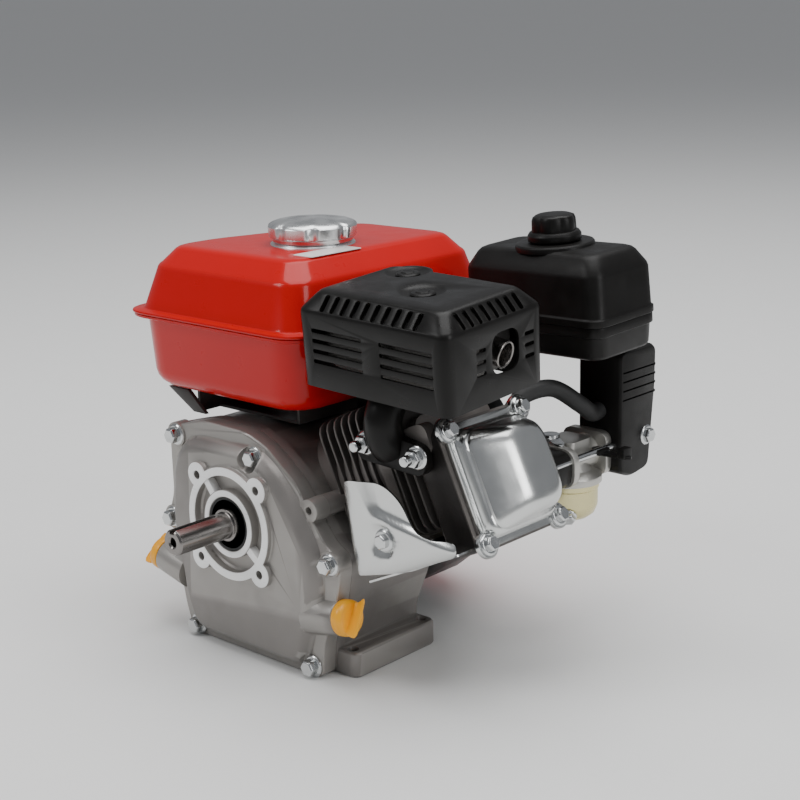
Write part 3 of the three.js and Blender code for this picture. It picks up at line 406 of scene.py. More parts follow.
def fuel_tank():
    seam = box_mm("fuel_tank_upper")[0].z
    top = seam + 50.7
    upper = loft([tank_ring(inset, corner, height) for height, inset, corner in [
        (seam, 1.2, 28), (seam + 0.3, 0.3, 28), (seam + 1.3, 0, 28), (seam + 2.3, 0.3, 28),
        (seam + 2.7, 1.2, 28),
        (seam + 2.9, 5.4, 28), (seam + 3.6, 6.8, 27), (seam + 5.4, 7.6, 27), (seam + 33, 15.8, 24),
        (seam + 35.2, 16.6, 23), (seam + 37, 17.9, 22), (seam + 38.3, 19.6, 21), (top - 2.6, 28.2, 17),
        (top - 1.1, 30.2, 16), (top - 0.2, 33, 15), (top, 38, 13), (top, 60, 6),
    ]])
    x, y = FUEL_CAP
    neck = lathe([(33.5, top - 2), (32.5, top + 1), (29.6, top + 2), (29, top + 7), (21, top + 7),
                  (21, top - 3)],
                 (x, y, 0))
    show(upper, "tank_top", RED, stands_for=["fuel_tank_upper"], edge=0)
    show(neck, "tank_neck", SATIN, edge=0.3)
    seam = box_mm("fuel_tank_lower")[1].z
    low = box_mm("fuel_tank_lower")[0].z
    lower = loft([tank_ring(inset, corner, height) for height, inset, corner in [
        (seam, 1.4, 28), (seam - 0.5, 1, 28), (seam - 2, 1.1, 28), (seam - 2.6, 2, 28), (seam - 2.8, 6, 28),
        (seam - 3.6, 8, 28), (seam - 6, 8.8, 28), (low + 14, 11, 28), (low + 9.5, 11.9, 28),
        (low + 5.4, 14, 28),
        (low + 2.2, 17.4, 28), (low + 0.6, 21.5, 27), (low, 27, 26), (low, 50, 10),
    ]])
    show(lower, "tank_bottom", RED, stands_for=["fuel_tank_lower"], edge=0)
    label = tray((x + 31, y - 52), (x + 51, y + 1), [(top - 0.1, 0, 2), (top + 0.5, 0, 2)])
    show(label, "blank_label", LABEL, edge=0.15)


def fuel_cap():
    low, high = box_mm("fuel_cap")
    x, y = FUEL_CAP
    rings = []
    for drop, radius, scallop in [
        (17.2, 30.6, 0), (14.6, 31.2, 0), (14, 32.6, 0.3), (13, 34, 0.8), (5.6, 34.6, 1), (4.4, 33.9, 0.9),
        (3.1, 32, 0.6), (2, 29, 0.2), (1.2, 25, 0), (0.6, 19, 0), (0.1, 10, 0), (0, 4, 0),
    ]:
        points = []
        for i in range(192):
            angle = 2 * math.pi * i / 192
            notch = 2.4 * scallop * max(0, math.cos(8 * angle)) ** 3
            reach = radius - notch
            points.append((x + reach * math.cos(angle), y + reach * math.sin(angle), high.z - drop))
        rings.append(points)
    throat = lathe([(20.5, low.z), (22, low.z + 1), (22, high.z - 9), (10, high.z - 9)], (x, y, 0))
    show(gather(loft(rings), throat), "fuel_cap_shell", SATIN, "fuel_cap", ["fuel_cap"],
         edge=0)


# ---- Exhaust ---------------------------------------------------------------------------------
def slot_cutter(half_length, half_width, depth):
    """A capsule-shaped cutter, long along local X, going through along Z."""
    points = rounded([(-half_length, -half_width), (half_length, -half_width), (half_length, half_width),
                      (-half_length, half_width)], half_width, 4)
    return slab(points, -depth, depth)


def placed(obj, place, right, out):
    """Turns an object drawn on XY so that its X follows right and its Z follows out."""
    right, out = Vector(right).normalized(), Vector(out).normalized()
    up = out.cross(right)
    matrix = Matrix((right, up, out)).transposed().to_4x4()
    matrix.translation = Vector(place) * MM
    obj.data.transform(matrix)
    return obj


def muffler_guard():
    low, high = box_mm("muffler_guard", GUARD)
    low, high = low - Vector((0.8, 1.6, 0)), high + Vector((1.6, 1.6, 0))
    wall = 2.0

    def levels(extra, bottom):
        top = high.z - extra
        return [(bottom, extra + 0.6, 9), (top - 15, extra, 9), (top - 12.6, extra + 0.5, 9),
                (top - 11, extra + 1.7, 9), (top - 2.6, extra + 9.1, 8), (top - 0.9, extra + 10.9, 8),
                (top, extra + 14, 7), (top, extra + 20, 6)]
    centre = (low + high) / 2
    dimples = [(centre.x - 36, centre.y + 29), (centre.x + 9.5, centre.y - 5)]
    shell = cut(tray(low, high, levels(0, low.z)), tray(low, high, levels(wall, low.z - 4)))
    pads = [lathe([(18, high.z - 5), (18, high.z - 0.6)], (x, y, 0)) for x, y in dimples]
    body = join(shell, *pads)
    tools = []
    for i in range(10):
        x = low.x + 24.3 + i * 9.6
        tools.append(placed(slot_cutter(6.6, 2.2, 6), (x, low.y + 5, high.z - 7), (0, 0.7, 0.72),
                            (0, -0.72, 0.7)))
    for i in range(8):
        y = low.y + 20 + i * 8.4
        tools.append(placed(slot_cutter(6.6, 2.1, 6), (high.x - 5, y, high.z - 7), (-0.7, 0, 0.72),
                            (0.72, 0, 0.7)))
    for row in range(4):
        z = low.z + 19.2 + row * 7.4
        for x in (low.x + 38, high.x - 36):
            tools.append(placed(slot_cutter(24, 1.5, 6), (x, low.y, z), (1, 0, 0), (0, -1, 0)))
    middle = centre.y + 9
    tools.append(slab(rect(middle - 14, low.z + 17, middle + 14, low.z + 46, 10), high.x - 6, high.x + 4,
                      "x"))
    for row in range(3):
        for y in (middle - 25, middle + 25):
            tools.append(placed(slot_cutter(5, 1.4, 6), (high.x, y, low.z + 22 + row * 8), (0, 1, 0),
                                (1, 0, 0)))
    for x, y in dimples:
        tools.append(lathe([(17.5, high.z + 1), (17, high.z), (15.2, high.z - 1.2), (11.5, high.z - 2.4),
                            (3, high.z - 2.5)], (x, y, 0)))
    show(cut(body, *tools), "exhaust_guard", BLACK, stands_for=["muffler_guard"],
         turn=GUARD,
         edge=0.4, angle=40)
    for i, (x, y) in enumerate(dimples):
        bolt = hex_head((x, y, high.z - 2.7), (0, 0, 1), 10, 2.7, 9)
        show(bolt, f"guard_bolt_{i + 1}", BLACK, turn=GUARD, edge=0.2)


def muffler():
    low, high = box_mm("muffler", GUARD)
    body = tray(low, (high.x - 10, high.y), [
        (low.z, 8, 12), (low.z + 3, 3, 14), (low.z + 8, 0, 15), (high.z - 8, 0, 15), (high.z - 3, 3, 14),
        (high.z, 8, 12),
    ])
    show(body, "muffler_box", IRON, stands_for=["muffler"], turn=GUARD, edge=0)
    outlet_y = (low.y + high.y) / 2 + 9
    pipe = lathe([(9.5, 0), (9.5, 15), (10, 17), (9.2, 17.6), (8, 17), (8, 2), (3, 1.9)],
                 (high.x - 13, outlet_y, low.z + 21.5), (1, 0.12, -0.22))
    show(pipe, "muffler_outlet", SHAFT, turn=GUARD, edge=0.2)


def exhaust_pipe():
    low, high = box_mm("exhaust_pipe")
    face = high.y - 17.3
    flange_z = low.z + 16
    outline = rounded([(low.x, flange_z - 12), (high.x, flange_z - 15), (high.x, flange_z + 6),
                       (low.x + 16, flange_z + 13), (low.x, flange_z + 8)], 10)
    flange = slab(outline, face - 8, face, "y")
    x = (low.x + high.x) / 2 - 3
    pipe = tube([(x, face - 3, flange_z), (x, face - 9, flange_z + 8), (x, face - 11, flange_z + 20),
                 (x, face - 6, flange_z + 32), (x, face + 5, high.z - 2)], 13.5, count=40)
    show(gather(flange, pipe), "exhaust_elbow", BLACK, stands_for=["exhaust_pipe"],
         edge=0.6)
    for i, (nut_x, nut_z) in enumerate([(low.x + 11, flange_z + 1), (high.x - 7, flange_z - 1)]):
        show(stud_nut((nut_x, face - 8, nut_z), (0, -1, 0)), f"exhaust_nut_{i + 1}", ZINC, edge=0.25)


# ---- Crankcase and side cover -----------------------------------------------------------------
CASE_OUTLINE = [
    (-64, 0), (-71, 20), (-74, 36), (-82, 88), (-85, 97), (-79, 112), (-79, 146), (-79, 163), (-66, 170),
    (-38, 177), (9, 176), (30, 169), (62, 145), (73, 126), (90, 104), (103, 98), (103, 84), (98, 60),
    (84, 27), (82, 0),
]
FACE_OUTLINE = [
    (-46, 13), (-55, 30), (-67, 96), (-63, 138), (-54, 151), (-42, 158), (20, 159), (38, 149), (60, 126),
    (76, 98), (80, 70), (67, 30), (62, 13),
]
SHAFT_Z = 106.0
LUG = 32.55


def grown(points, extra):
    """An outline moved outward from its middle by about the given distance."""
    middle = sum((Vector(p) for p in points), Vector((0, 0))) / len(points)
    return [tuple(Vector(p) + (Vector(p) - middle).normalized() * extra) for p in points]


def bolt_places():
    places = []
    for i in range(6):
        low, high = box_mm(f"side_cover_bolt_{i + 1}")
        places.append(((low.x + high.x) / 2, (low.z + high.z) / 2))
    return places


def plug_axis(body):
    """Where a filler plug seats and the way it pulls out."""
    out = Vector(next(j for j in frame["joints"] if j["child"] == body)["axis"]).normalized()
    x, z = PLUG_SEATS[body]
    return Vector((x, PLUG_Y, z)), out


def side_cover():
    low, high = box_mm("side_cover")
    front, back = low.y, high.y
    flange = loft([ring(rounded(CASE_OUTLINE, 7), back, "y"),
                   ring(rounded(CASE_OUTLINE, 7), back - 11.8, "y"),
                   ring(rounded(grown(CASE_OUTLINE, -1), 7), back - 12.7, "y")])
    dome = loft([ring(rounded(grown(FACE_OUTLINE, g), 12, 8), y, "y") for g, y in [
        (9.5, back - 11), (8.4, front + 12.6), (6, front + 9.2), (2.8, front + 6.2), (0.6, front + 4.8),
        (-1.6, front + 4.2)]])
    lugs = [(a * LUG, SHAFT_Z + b * LUG) for a in (-1, 1) for b in (-1, 1)]
    boss = lathe([(49, 16), (46.5, 5), (44, 3.6), (44, 0.6)], (0, front, SHAFT_Z), (0, 1, 0), 96)
    bosses = [lathe([(12, 16), (10.6, 5), (10, 3.6), (10, 0.6)], (x, front, z), (0, 1, 0), 40)
              for x, z in lugs]
    pads = [slab(circle(min(9.8, z), x, z, 40), back - 14, back - 3, "y") for x, z in bolt_places()]
    ear = rod((EAR[0], back, EAR[1]), (EAR[0], back - 13.2, EAR[1]), 8.8, 8.4)
    necks = []
    for body_name in PLUG_SEATS:
        seat, out = plug_axis(body_name)
        necks.append(lathe([(15, -36), (14, -14), (13.5, -5.6), (12.9, -4.9)], seat, out, 48))
    trimmed = cut(gather(*necks), slab([(-200, -20), (200, -20), (200, 250), (-200, 250)], back, 20, "y"))
    pockets = [rod((x, front - 4, z), (x, back - 14.3, z), 10.6, 9.8, 40) for x, z in bolt_places()]
    body = join(cut(join(flange, dome), *pockets), boss, *bosses, *pads, ear, trimmed)
    tools = [lathe([(37.5, -2), (37.5, 6), (36, 7.4), (26.5, 7.4), (26.5, -2)], (0, front, SHAFT_Z),
                   (0, 1, 0), 96)]
    tools += [rod((0, front - 2, SHAFT_Z), (0, back + 2, SHAFT_Z), 21, count=72)]
    tools += [rod((x, front - 2, z), (x, front + 11, z), 3.4, count=24) for x, z in lugs]
    tools += [rod((EAR[0], back + 1, EAR[1]), (EAR[0], back - 16, EAR[1]), 3, count=28)]
    for body_name in PLUG_SEATS:
        seat, out = plug_axis(body_name)
        tools.append(rod(seat - out * 44, seat, 8, count=36))
    casting = show(cut(body, *tools), "side_cover_casting", CASE, stands_for=["side_cover"],
                   edge=0.7, angle=28)
    for label, degrees in (("a", 128), ("b", -38)):
        turn = math.radians(degrees)
        along = Vector((math.cos(turn), 0, math.sin(turn)))
        across = Vector((-math.sin(turn), 0, math.cos(turn)))
        centre = Vector((0, 0, SHAFT_Z))
        corners = [centre + along * r + across * w for r, w in [(25.5, -3), (38, -3), (38, 3), (25.5, 3)]]
        rib = slab([(c.x, c.z) for c in corners], front + 0.8, front + 7.5, "y")
        show(rib, f"recess_rib_{label}", MACHINED, edge=0.4)
    return casting


def machined_ring():
    low, _ = box_mm("side_cover")
    front = low.y
    lugs = [(a * LUG, SHAFT_Z + b * LUG) for a in (-1, 1) for b in (-1, 1)]
    outer = join(slab(circle(43.7, 0, SHAFT_Z, 96), front, front + 0.9, "y"),
                 *[slab(circle(9.7, x, z, 40), front, front + 0.9, "y") for x, z in lugs])
    outer = cut(outer, slab(circle(37.6, 0, SHAFT_Z, 96), front - 2, front + 3, "y"),
                *[slab(circle(3.5, x, z, 24), front - 2, front + 3, "y") for x, z in lugs])
    show(outer, "machined_flange", MACHINED, edge=0.25)
    inner = cut(slab(circle(26, 0, SHAFT_Z, 72), front + 0.2, front + 1.2, "y"),
                slab(circle(21.4, 0, SHAFT_Z, 72), front - 2, front + 3, "y"))
    show(inner, "machined_hub", MACHINED, edge=0.25)
    seal_low, _ = box_mm("pto_oil_seal")
    seal = lathe([(20.5, 0.4), (20.5, 5), (12.9, 5), (12.9, 1.4), (14, 0.6), (15.4, 2), (18, 2.1),
                  (18.8, 0.4)],
                 (0, seal_low.y, SHAFT_Z), (0, 1, 0), 72)
    show(seal, "oil_seal_lip", RUBBER, stands_for=["pto_oil_seal"], edge=0)


def crankcase():
    low, _ = box_mm("crankcase")
    seam, back = low.y, box_mm("fan_cover")[0].y - 0.3
    shell = loft([ring(rounded(CASE_OUTLINE, 7), seam, "y"), ring(rounded(CASE_OUTLINE, 7), seam + 9, "y"),
                  ring(rounded(grown(CASE_OUTLINE, -2.5), 7), seam + 11, "y"),
                  ring(rounded(grown(CASE_OUTLINE, -2.5), 7), back, "y")])
    feet = [tray((x0, seam + 2), (x1, back), [(0, 0.6, 7), (1.2, 0, 7), (17.6, 0, 7), (19, 1.2, 6)])
            for x0, x1 in ((62, 102), (-81, -52))]
    bosses = [rod((x, seam, max(z, 8.2)), (x, seam + 15, max(z, 8.2)), 8, 7, 32) for x, z in bolt_places()]
    ear = rod((EAR[0], seam, EAR[1]), (EAR[0], seam + 27, EAR[1]), 8.5, 8)
    body = join(shell, *feet, *bosses, ear)
    tools = [rod((x, y, -1), (x, y, 24), 4.5, count=28) for x in (92, -70) for y in (-37.75, 37.75)]
    tools.append(rod((EAR[0], seam - 2, EAR[1]), (EAR[0], seam + 12, EAR[1]), 3, count=24))
    bore = BORE @ Vector((1, 0, 0))
    start = Vector((0, 14, SHAFT_Z))
    tools.append(rod(start + bore * 40, start + bore * 150, 37.3, count=48))
    show(cut(body, *tools), "crankcase_casting", CASE, stands_for=["crankcase"],
         edge=0.8, angle=28)


def cover_bolts():
    for i, (x, z) in enumerate(bolt_places()):
        name = f"side_cover_bolt_{i + 1}"
        low, _ = box_mm(name)
        head = hex_head((x, low.y + 9, z), (0, -1, 0), 11, 8.6, 8.6, 22)
        show(head, f"cover_bolt_{i + 1}", ZINC, stands_for=[name], edge=0.3)


# ---- Cylinder --------------------------------------------------------------------------------
def bore_frame(obj):
    """Moves an object drawn in the cylinder frame to the engine frame."""
    obj.data.transform(Matrix.Translation(Vector((0, 14, SHAFT_Z)) * MM) @ BORE)
    return obj


def fin(low, high, along, thick=2.2):
    return tray(low, high, [(along, 0.5, 13), (along + 0.4, 0, 13), (along + thick - 0.4, 0, 13),
                            (along + thick, 0.5, 13)], "x", 4)


def cylinder_fins():
    barrel = [fin((-46, -47), (48, 47), 82 + i * 8.2, 2) for i in range(6)]
    core = lathe([(43, 52), (43, 131)], (0, 0, 0), (1, 0, 0))
    tunnel = slab(rect(-22, -60, 22, -36, 7), 74, 131, "x")
    # The fins and head take the near-black casting colour, which is painted shade.
    show(bore_frame(gather(core, tunnel, *barrel)), "barrel_fins", PAINTED_SHADE_FINS, edge=0)
    head = [fin((-54, -47), (40, 47), 145 + i * 8.2, 2) for i in range(3)]
    plate = slab(rect(-54, -46, 40, 46, 12), 132.3, 142, "x")
    core = slab(rect(-56, -40, 26, 40, 12), 138, 172, "x")
    box = loft([ring(rect(-77 - g, -46 - g, 13 + g, 46 + g, 10), a, "x")
                for g, a in [(-3, 166), (0, 170), (0, 193), (1, 196)]])
    pad = slab(rect(134, -2, 188, 20, 8), -48, -38, "y")
    swap = [plate, core, box, *head]
    for part in swap:
        part.data.transform(Matrix(((1, 0, 0, 0), (0, 0, 1, 0), (0, 1, 0, 0), (0, 0, 0, 1))))
        part.data.flip_normals()
    show(bore_frame(gather(pad, *swap)), "cylinder_head_casting", PAINTED_SHADE_FINS, stands_for=["cylinder_head"],
         edge=0)


def valve_cover():
    middle, base = -32.0, 196.3
    y0, y1, z0, z1 = -43, 43, middle - 44, middle + 44
    lobes = [(y, middle + z) for y in (-39.5, 39.5) for z in (-41, 41)]
    plate = join(slab(rect(y0, z0, y1, z1, 14), base, base + 3.6, "x"),
                 *[slab(circle(9.5, y, z, 40), base, base + 3.6, "x") for y, z in lobes])
    step = tray((y0 + 5, z0 + 5), (y1 - 5, z1 - 5), [
        (base + 1, -1.2, 12), (base + 4, -0.4, 12), (base + 6, 0, 12), (base + 8.4, 0.8, 12),
        (base + 10, 2, 12),
        (base + 11, 4, 11), (base + 11.4, 7, 10)], "x")
    bulge = loft([
        ring(rect(left, z0 + inset, right, z1 - inset, corner, 8), base + height, "x")
        for height, left, right, inset, corner in [
            (8, -35, 36, 7, 14), (12.6, -33.6, 35, 8.4, 15), (14, -32, 34.2, 9.4, 16),
            (20, -21.5, 32.6, 11.4, 17),
            (24.4, -13.6, 30.6, 13.6, 17), (26.8, -8.6, 28.2, 16.4, 16), (28.2, -3.4, 24.6, 20, 14),
            (28.8, 2, 19, 26, 8)]])
    show(bore_frame(join(plate, step, bulge)), "valve_cover_pressing", CHROME, stands_for=["valve_cover"],
         edge=1.2, angle=26)
    for i, (y, z) in enumerate(lobes):
        show(bore_frame(hex_head((base + 3.6, y, z), (1, 0, 0), 10, 6.5, 8)), f"valve_cover_bolt_{i + 1}",
             ZINC, edge=0.3)


def smooth_step(value, low, high):
    t = min(1, max(0, (value - low) / (high - low)))
    return t * t * (3 - 2 * t)


def cylinder_shroud():
    """Pressed sheet beside the cylinder, dished round its bolt and rolled along its left and lower edges."""
    face = rounded([(94, -65), (111, -3), (120, 1), (150, -11), (161, -27), (163, -46), (178, -58),
                    (196, -63),
                    (196, -73), (144, -74)], 9, 10)
    face = [p for a, b in zip(face, face[1:] + face[:1]) for p in (a, ((a[0] + b[0]) / 2, (a[1] + b[1]) / 2))]
    middle = (134, -48)

    def depth(x, z):
        left = ((x - 94) * 62 - (z + 65) * 17) / math.hypot(62, 17)
        dish = 3.2 * (1 - smooth_step(math.hypot(x - middle[0], z - middle[1]), 7, 14))
        fold = 3.5 * smooth_step((x - 141) * 0.55 + (z + 36) * 0.83, 0, 8) * smooth_step(x, 128, 142)
        return dish + fold + 5 * math.exp(-max(left, 0) / 3) + 4 * math.exp(-max(z + 73.5, 0) / 3.5)

    shares = [0.02, 0.12, 0.2, 0.28, 0.36, 0.44, 0.52, 0.6, 0.68, 0.76, 0.84, 0.9, 0.94, 0.97, 0.99, 1.0]
    shrunk = [[(middle[0] + (x - middle[0]) * k, middle[1] + (z - middle[1]) * k) for x, z in face]
              for k in shares]
    back = [[(x, -69 + depth(x, z), z) for x, z in points] for points in shrunk]
    front = [[(x, -70.4 + depth(x, z), z) for x, z in points] for points in reversed(shrunk)]
    low = slab(rect(99, -66, 192, 46, 6), -73.4, -72, "z")
    show(bore_frame(gather(loft(back + front), low)), "cylinder_shroud_pressing", CHROME,
         stands_for=["cylinder_shroud"], edge=0, angle=50)
    show(bore_frame(hex_head((middle[0], -67.3, middle[1]), (0, -1, 0), 10, 6, 8.4)), "shroud_bolt", ZINC,
         edge=0.3)


# ---- Output shaft and plugs -------------------------------------------------------------------
def output_shaft():
    low, _ = box_mm("crankshaft")
    end = low.y
    shaft = lathe([(3.4, end + 18), (3.4, end + 1.2), (4.6, end), (8.6, end), (10, end + 1.6), (10, -77.6),
                   (10.4, -76.6),
                   (12.3, -76.6), (12.5, -76.2), (12.5, -40), (3, -40)], (0, 0, SHAFT_Z), (0, 1, 0), 96)
    key = slab(rounded([(-2.4, end - 2), (2.4, end - 2), (2.4, -86), (-2.4, -86)], 2.3), SHAFT_Z + 6.6,
               SHAFT_Z + 13, "z")
    inner = cut(copy_of("crankshaft"), slab(rect(-40, 60, 40, 150, 1), -140, -46, "y"))
    show(gather(cut(shaft, key), inner), "crankshaft_finished", SHAFT, "crank", ["crankshaft"],
         edge=0.3)


def filler_plug(node, name, body):
    """A plug with a thin twisted wing to turn it by."""
    seat, out = plug_axis(body)
    reach = {"oil_dipstick": -38, "oil_filler_plug": -16}[node]
    disc = lathe([(2.6, reach), (3, reach + 1), (3, -14.4), (7.4, -14), (7.4, -4.6), (13, -4.6), (13.5, -4),
                  (13.5, 0.6), (13, 2.6), (11.4, 4.2), (6, 4.8)], seat, out)
    wing = []
    for height, half, thick, lean in [(3, 11.5, 5.6, 0), (5, 12, 3.8, 0.4), (7.5, 13, 2.8, 1.4),
                                      (10, 14, 2.4, 2.8),
                                      (12.4, 14, 2.1, 4.2), (14, 12, 1.6, 5), (14.8, 8, 0.8, 5.4)]:
        points = rounded([(-half, -thick / 2), (half, -thick / 2), (half, thick / 2), (-half, thick / 2)],
                         1.1, 4)
        wing.append([(a, b + lean * (0.35 + 0.65 * a / 12), height) for a, b in points])
    blade = placed(loft(wing), seat, Vector((0, 0.62, 0.78)), out)
    show(gather(disc, blade), name, YELLOW, body, [node], edge=0.4)


# ---- Intake and air cleaner -------------------------------------------------------------------
def air_cleaner():
    low, high = box_mm("air_cleaner_cover", AIR)
    top = high.z - 3
    cover = tray(low, high, [
        (low.z, 0.4, 13), (low.z + 0.6, 0, 13), (low.z + 5, 0, 13), (low.z + 5.8, 0.8, 13),
        (low.z + 7, 1.2, 13),
        (top - 16, 1.8, 13), (top - 13, 2.6, 13), (top - 3.6, 8, 12), (top - 1.4, 10.2, 11),
        (top - 0.3, 13, 10),
        (top, 17, 8)])
    middle = (low + high) / 2
    ring_step = lathe([(30, top - 2), (29.6, top + 1.6), (28.6, top + 2.8), (26, top + 3), (10, top + 3)],
                      (middle.x, middle.y, 0))
    show(join(cover, ring_step), "air_cleaner_lid", PLASTIC, "air_cleaner_cover", ["air_cleaner_cover"],
         turn=AIR, edge=0.4)
    low, high = box_mm("air_cleaner_base", AIR)
    base = tray(low, high, [
        (low.z, 6, 10), (low.z + 1, 4, 11), (low.z + 3, 2.6, 12), (high.z - 8, 1.6, 12),
        (high.z - 7, 0, 12), (high.z, 0, 12)])
    show(base, "air_cleaner_tray", PLASTIC, stands_for=["air_cleaner_base"], turn=AIR,
         edge=0.4)


def air_knob():
    _, high = box_mm("air_cleaner_knob", AIR)
    cover_low, cover_high = box_mm("air_cleaner_cover", AIR)
    x, y = (cover_low.x + cover_high.x) / 2, (cover_low.y + cover_high.y) / 2
    skirt = lathe([(18, 0), (20, 1), (20, 5), (18.4, 7.4), (15, 8.4), (6, 8.6)], (x, y, high.z - 20),
                  (0, 0, 1))
    rings = []
    for height, radius in [(6, 15), (8, 15.6), (16, 15.2), (18.6, 14.2), (20, 12), (20, 8)]:
        rings.append([(x + (radius + 1.5 * abs(math.cos(3 * a)) * (height < 19)) * math.cos(a),
                       y + (radius + 1.5 * abs(math.cos(3 * a)) * (height < 19)) * math.sin(a),
                       high.z - 20 + height)
                      for a in [2 * math.pi * i / 96 for i in range(96)]])
    show(gather(skirt, loft(rings)), "air_cleaner_grip", PLASTIC, "air_cleaner_knob", ["air_cleaner_knob"],
         turn=AIR, edge=0.3)


def intake_elbow():
    low, high = box_mm("intake_elbow")
    y0, y1 = low.y, high.y
    side = rounded([(y0, low.z + 6), (y0, high.z), (y1, high.z), (y1, 192), (y1 - 8, low.z + 3),
                    (y0 + 16, low.z)], 6)
    body = loft([ring(side, low.x, "x"), ring(side, high.x - 3, "x"), ring(grown(side, -2), high.x, "x")])
    ribs = [slab(rect(y0 + 2, z - 1.2, y1, z + 1.2, 1), high.x - 1.5, high.x, "x")
            for z in (210, 203, 196, 189)]
    show(gather(body, *ribs), "intake_duct", PLASTIC, stands_for=["intake_elbow"],
         edge=0.6)
    show(hex_head((high.x - 1, y1 - 11, 156), (1, 0, 0), 10, 6, 8), "duct_bolt", ZINC, edge=0.3)


def carburetor():
    low, high = box_mm("carburetor")
    x, z = (low.x + high.x) / 2, 148.0
    body = join(rod((x, low.y, z), (x, high.y, z), 14, count=40),
                slab(rect(low.x, z - 15, high.x, z + 15, 12), low.y, low.y + 6, "y"),
                slab(rect(x - 20, z - 17, x + 20, z + 17, 9), high.y - 7, high.y, "y"),
                slab(rect(x - 13, low.y + 14, x + 13, high.y - 14, 6), z, high.z - 2, "z"),
                lathe([(25, low.z), (25, low.z + 5), (17, low.z + 9), (12, z)], (x, 112, 0)))
    body = cut(body, rod((x, low.y - 2, z), (x, high.y + 2, z), 10, count=32))
    show(body, "carburetor_casting", ZAMAK, stands_for=["carburetor"], edge=0.7)
    studs = [rod((x + dx, low.y - 18, z + 6), (x + dx, high.y + 3, z + 6), 2.9, count=20) for dx in (-21, 21)]
    show(gather(*studs), "carburetor_studs", ZINC, edge=0)
    low, high = box_mm("float_bowl")
    cx, cy = (low.x + high.x) / 2, (low.y + high.y) / 2
    bowl = lathe([(4, 0.6), (8, 0), (15, 1.4), (19.5, 5), (21.6, 10), (22, 12), (22, 24), (22.9, 25),
                  (22.9, 28.6), (22, 29),
                  (12, 29)], (cx, cy, low.z))
    show(bowl, "float_bowl_pressing", BOWL, stands_for=["float_bowl"], edge=0)
    drain = hex_head((cx + 12, cy - 16, low.z + 7), (0.5, -0.72, -0.5), 9, 6, 6)
    show(drain, "bowl_drain_bolt", ZINC, edge=0.3)


# ---- Hoses, starter and plain parts ---------------------------------------------------------------------
def hoses():
    breather = tube([(164, 60.6, 192), (165, 74, 201), (176, 94, 204), (187, 113, 190), (187, 128, 180),
                     (187, 138, 180)],
                    6.5, count=28, samples=12)
    show(breather, "breather_tube", RUBBER, stands_for=["breather_hose"], edge=0)


def rope_line():
    """Where the starter rope would leave the reel and the way it is pulled."""
    pull = Vector(next(j for j in frame["joints"] if j["child"] == "starter_handle")["axis"]).normalized()
    low, high = box_mm("starter_reel")
    return Vector((ROPE_RADIUS * pull.z, (low.y + high.y) / 2, SHAFT_Z - ROPE_RADIUS * pull.x)), pull


def starter_rope():
    """The rope between the reel and the handle."""
    start, pull = rope_line()
    rope = tube([start + pull * reach for reach in range(50, 84, 3)], 1.9, count=16)
    rope.name = "starter_rope"
    rope.data.shade_smooth()
    rope.data.materials.append(ROPE)
    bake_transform(rope)


def starter_housing():
    low, high = box_mm("starter_housing")
    rim, back = low.y, high.y
    reach = high.x
    shell = lathe([
        (0, back - 2.5), (29, back - 2.5), (44, back - 6), (59, back - 11), (69, back - 19), (75, back - 29),
        (77, back - 36), (77, rim), (reach - 1, rim), (reach, rim + 1), (reach, rim + 6),
        (reach - 1.4, rim + 8),
        (reach - 4.4, rim + 9), (80, rim + 14), (79.8, back - 34), (78, back - 27), (72, back - 16.4),
        (62.4, back - 8.4), (47, back - 3.8), (33, back - 1), (30, back - 0.2), (28, back), (24, back),
        (22, back - 0.8), (0, back - 0.8)], (0, 0, SHAFT_Z), (0, 1, 0), 120)
    spindle = rod((0, back - 37, SHAFT_Z), (0, back - 1.6, SHAFT_Z), 7)
    start, pull = rope_line()
    tools = [rod(start + pull * 50, start + pull * 90, 4.5, count=28)]
    for i in range(6):
        a = 2 * math.pi * i / 6 + 0.13
        out = Vector((math.cos(a), 0, -math.sin(a)))
        tools.append(placed(slot_cutter(12, 4.6, 26), out * 46 + Vector((0, back - 8, SHAFT_Z)), out,
                            (0, 1, 0)))
    show(cut(join(shell, spindle), *tools), "starter_shell", RED, stands_for=["starter_housing"],
         edge=0.6, angle=35)
    for i, degrees in enumerate((45, 165, 285)):
        turn = math.radians(degrees)
        place = (80.8 * math.cos(turn), rim + 8.4, SHAFT_Z + 80.8 * math.sin(turn))
        show(hex_head(place, (0, 1, 0), 8, 4.6, 5.6), f"starter_bolt_{i + 1}", ZINC, edge=0.2)


def fan_housing():
    show(copy_of("fan_cover"), "fan_housing", BLACK, stands_for=["fan_cover"], edge=1.5,
         angle=30)


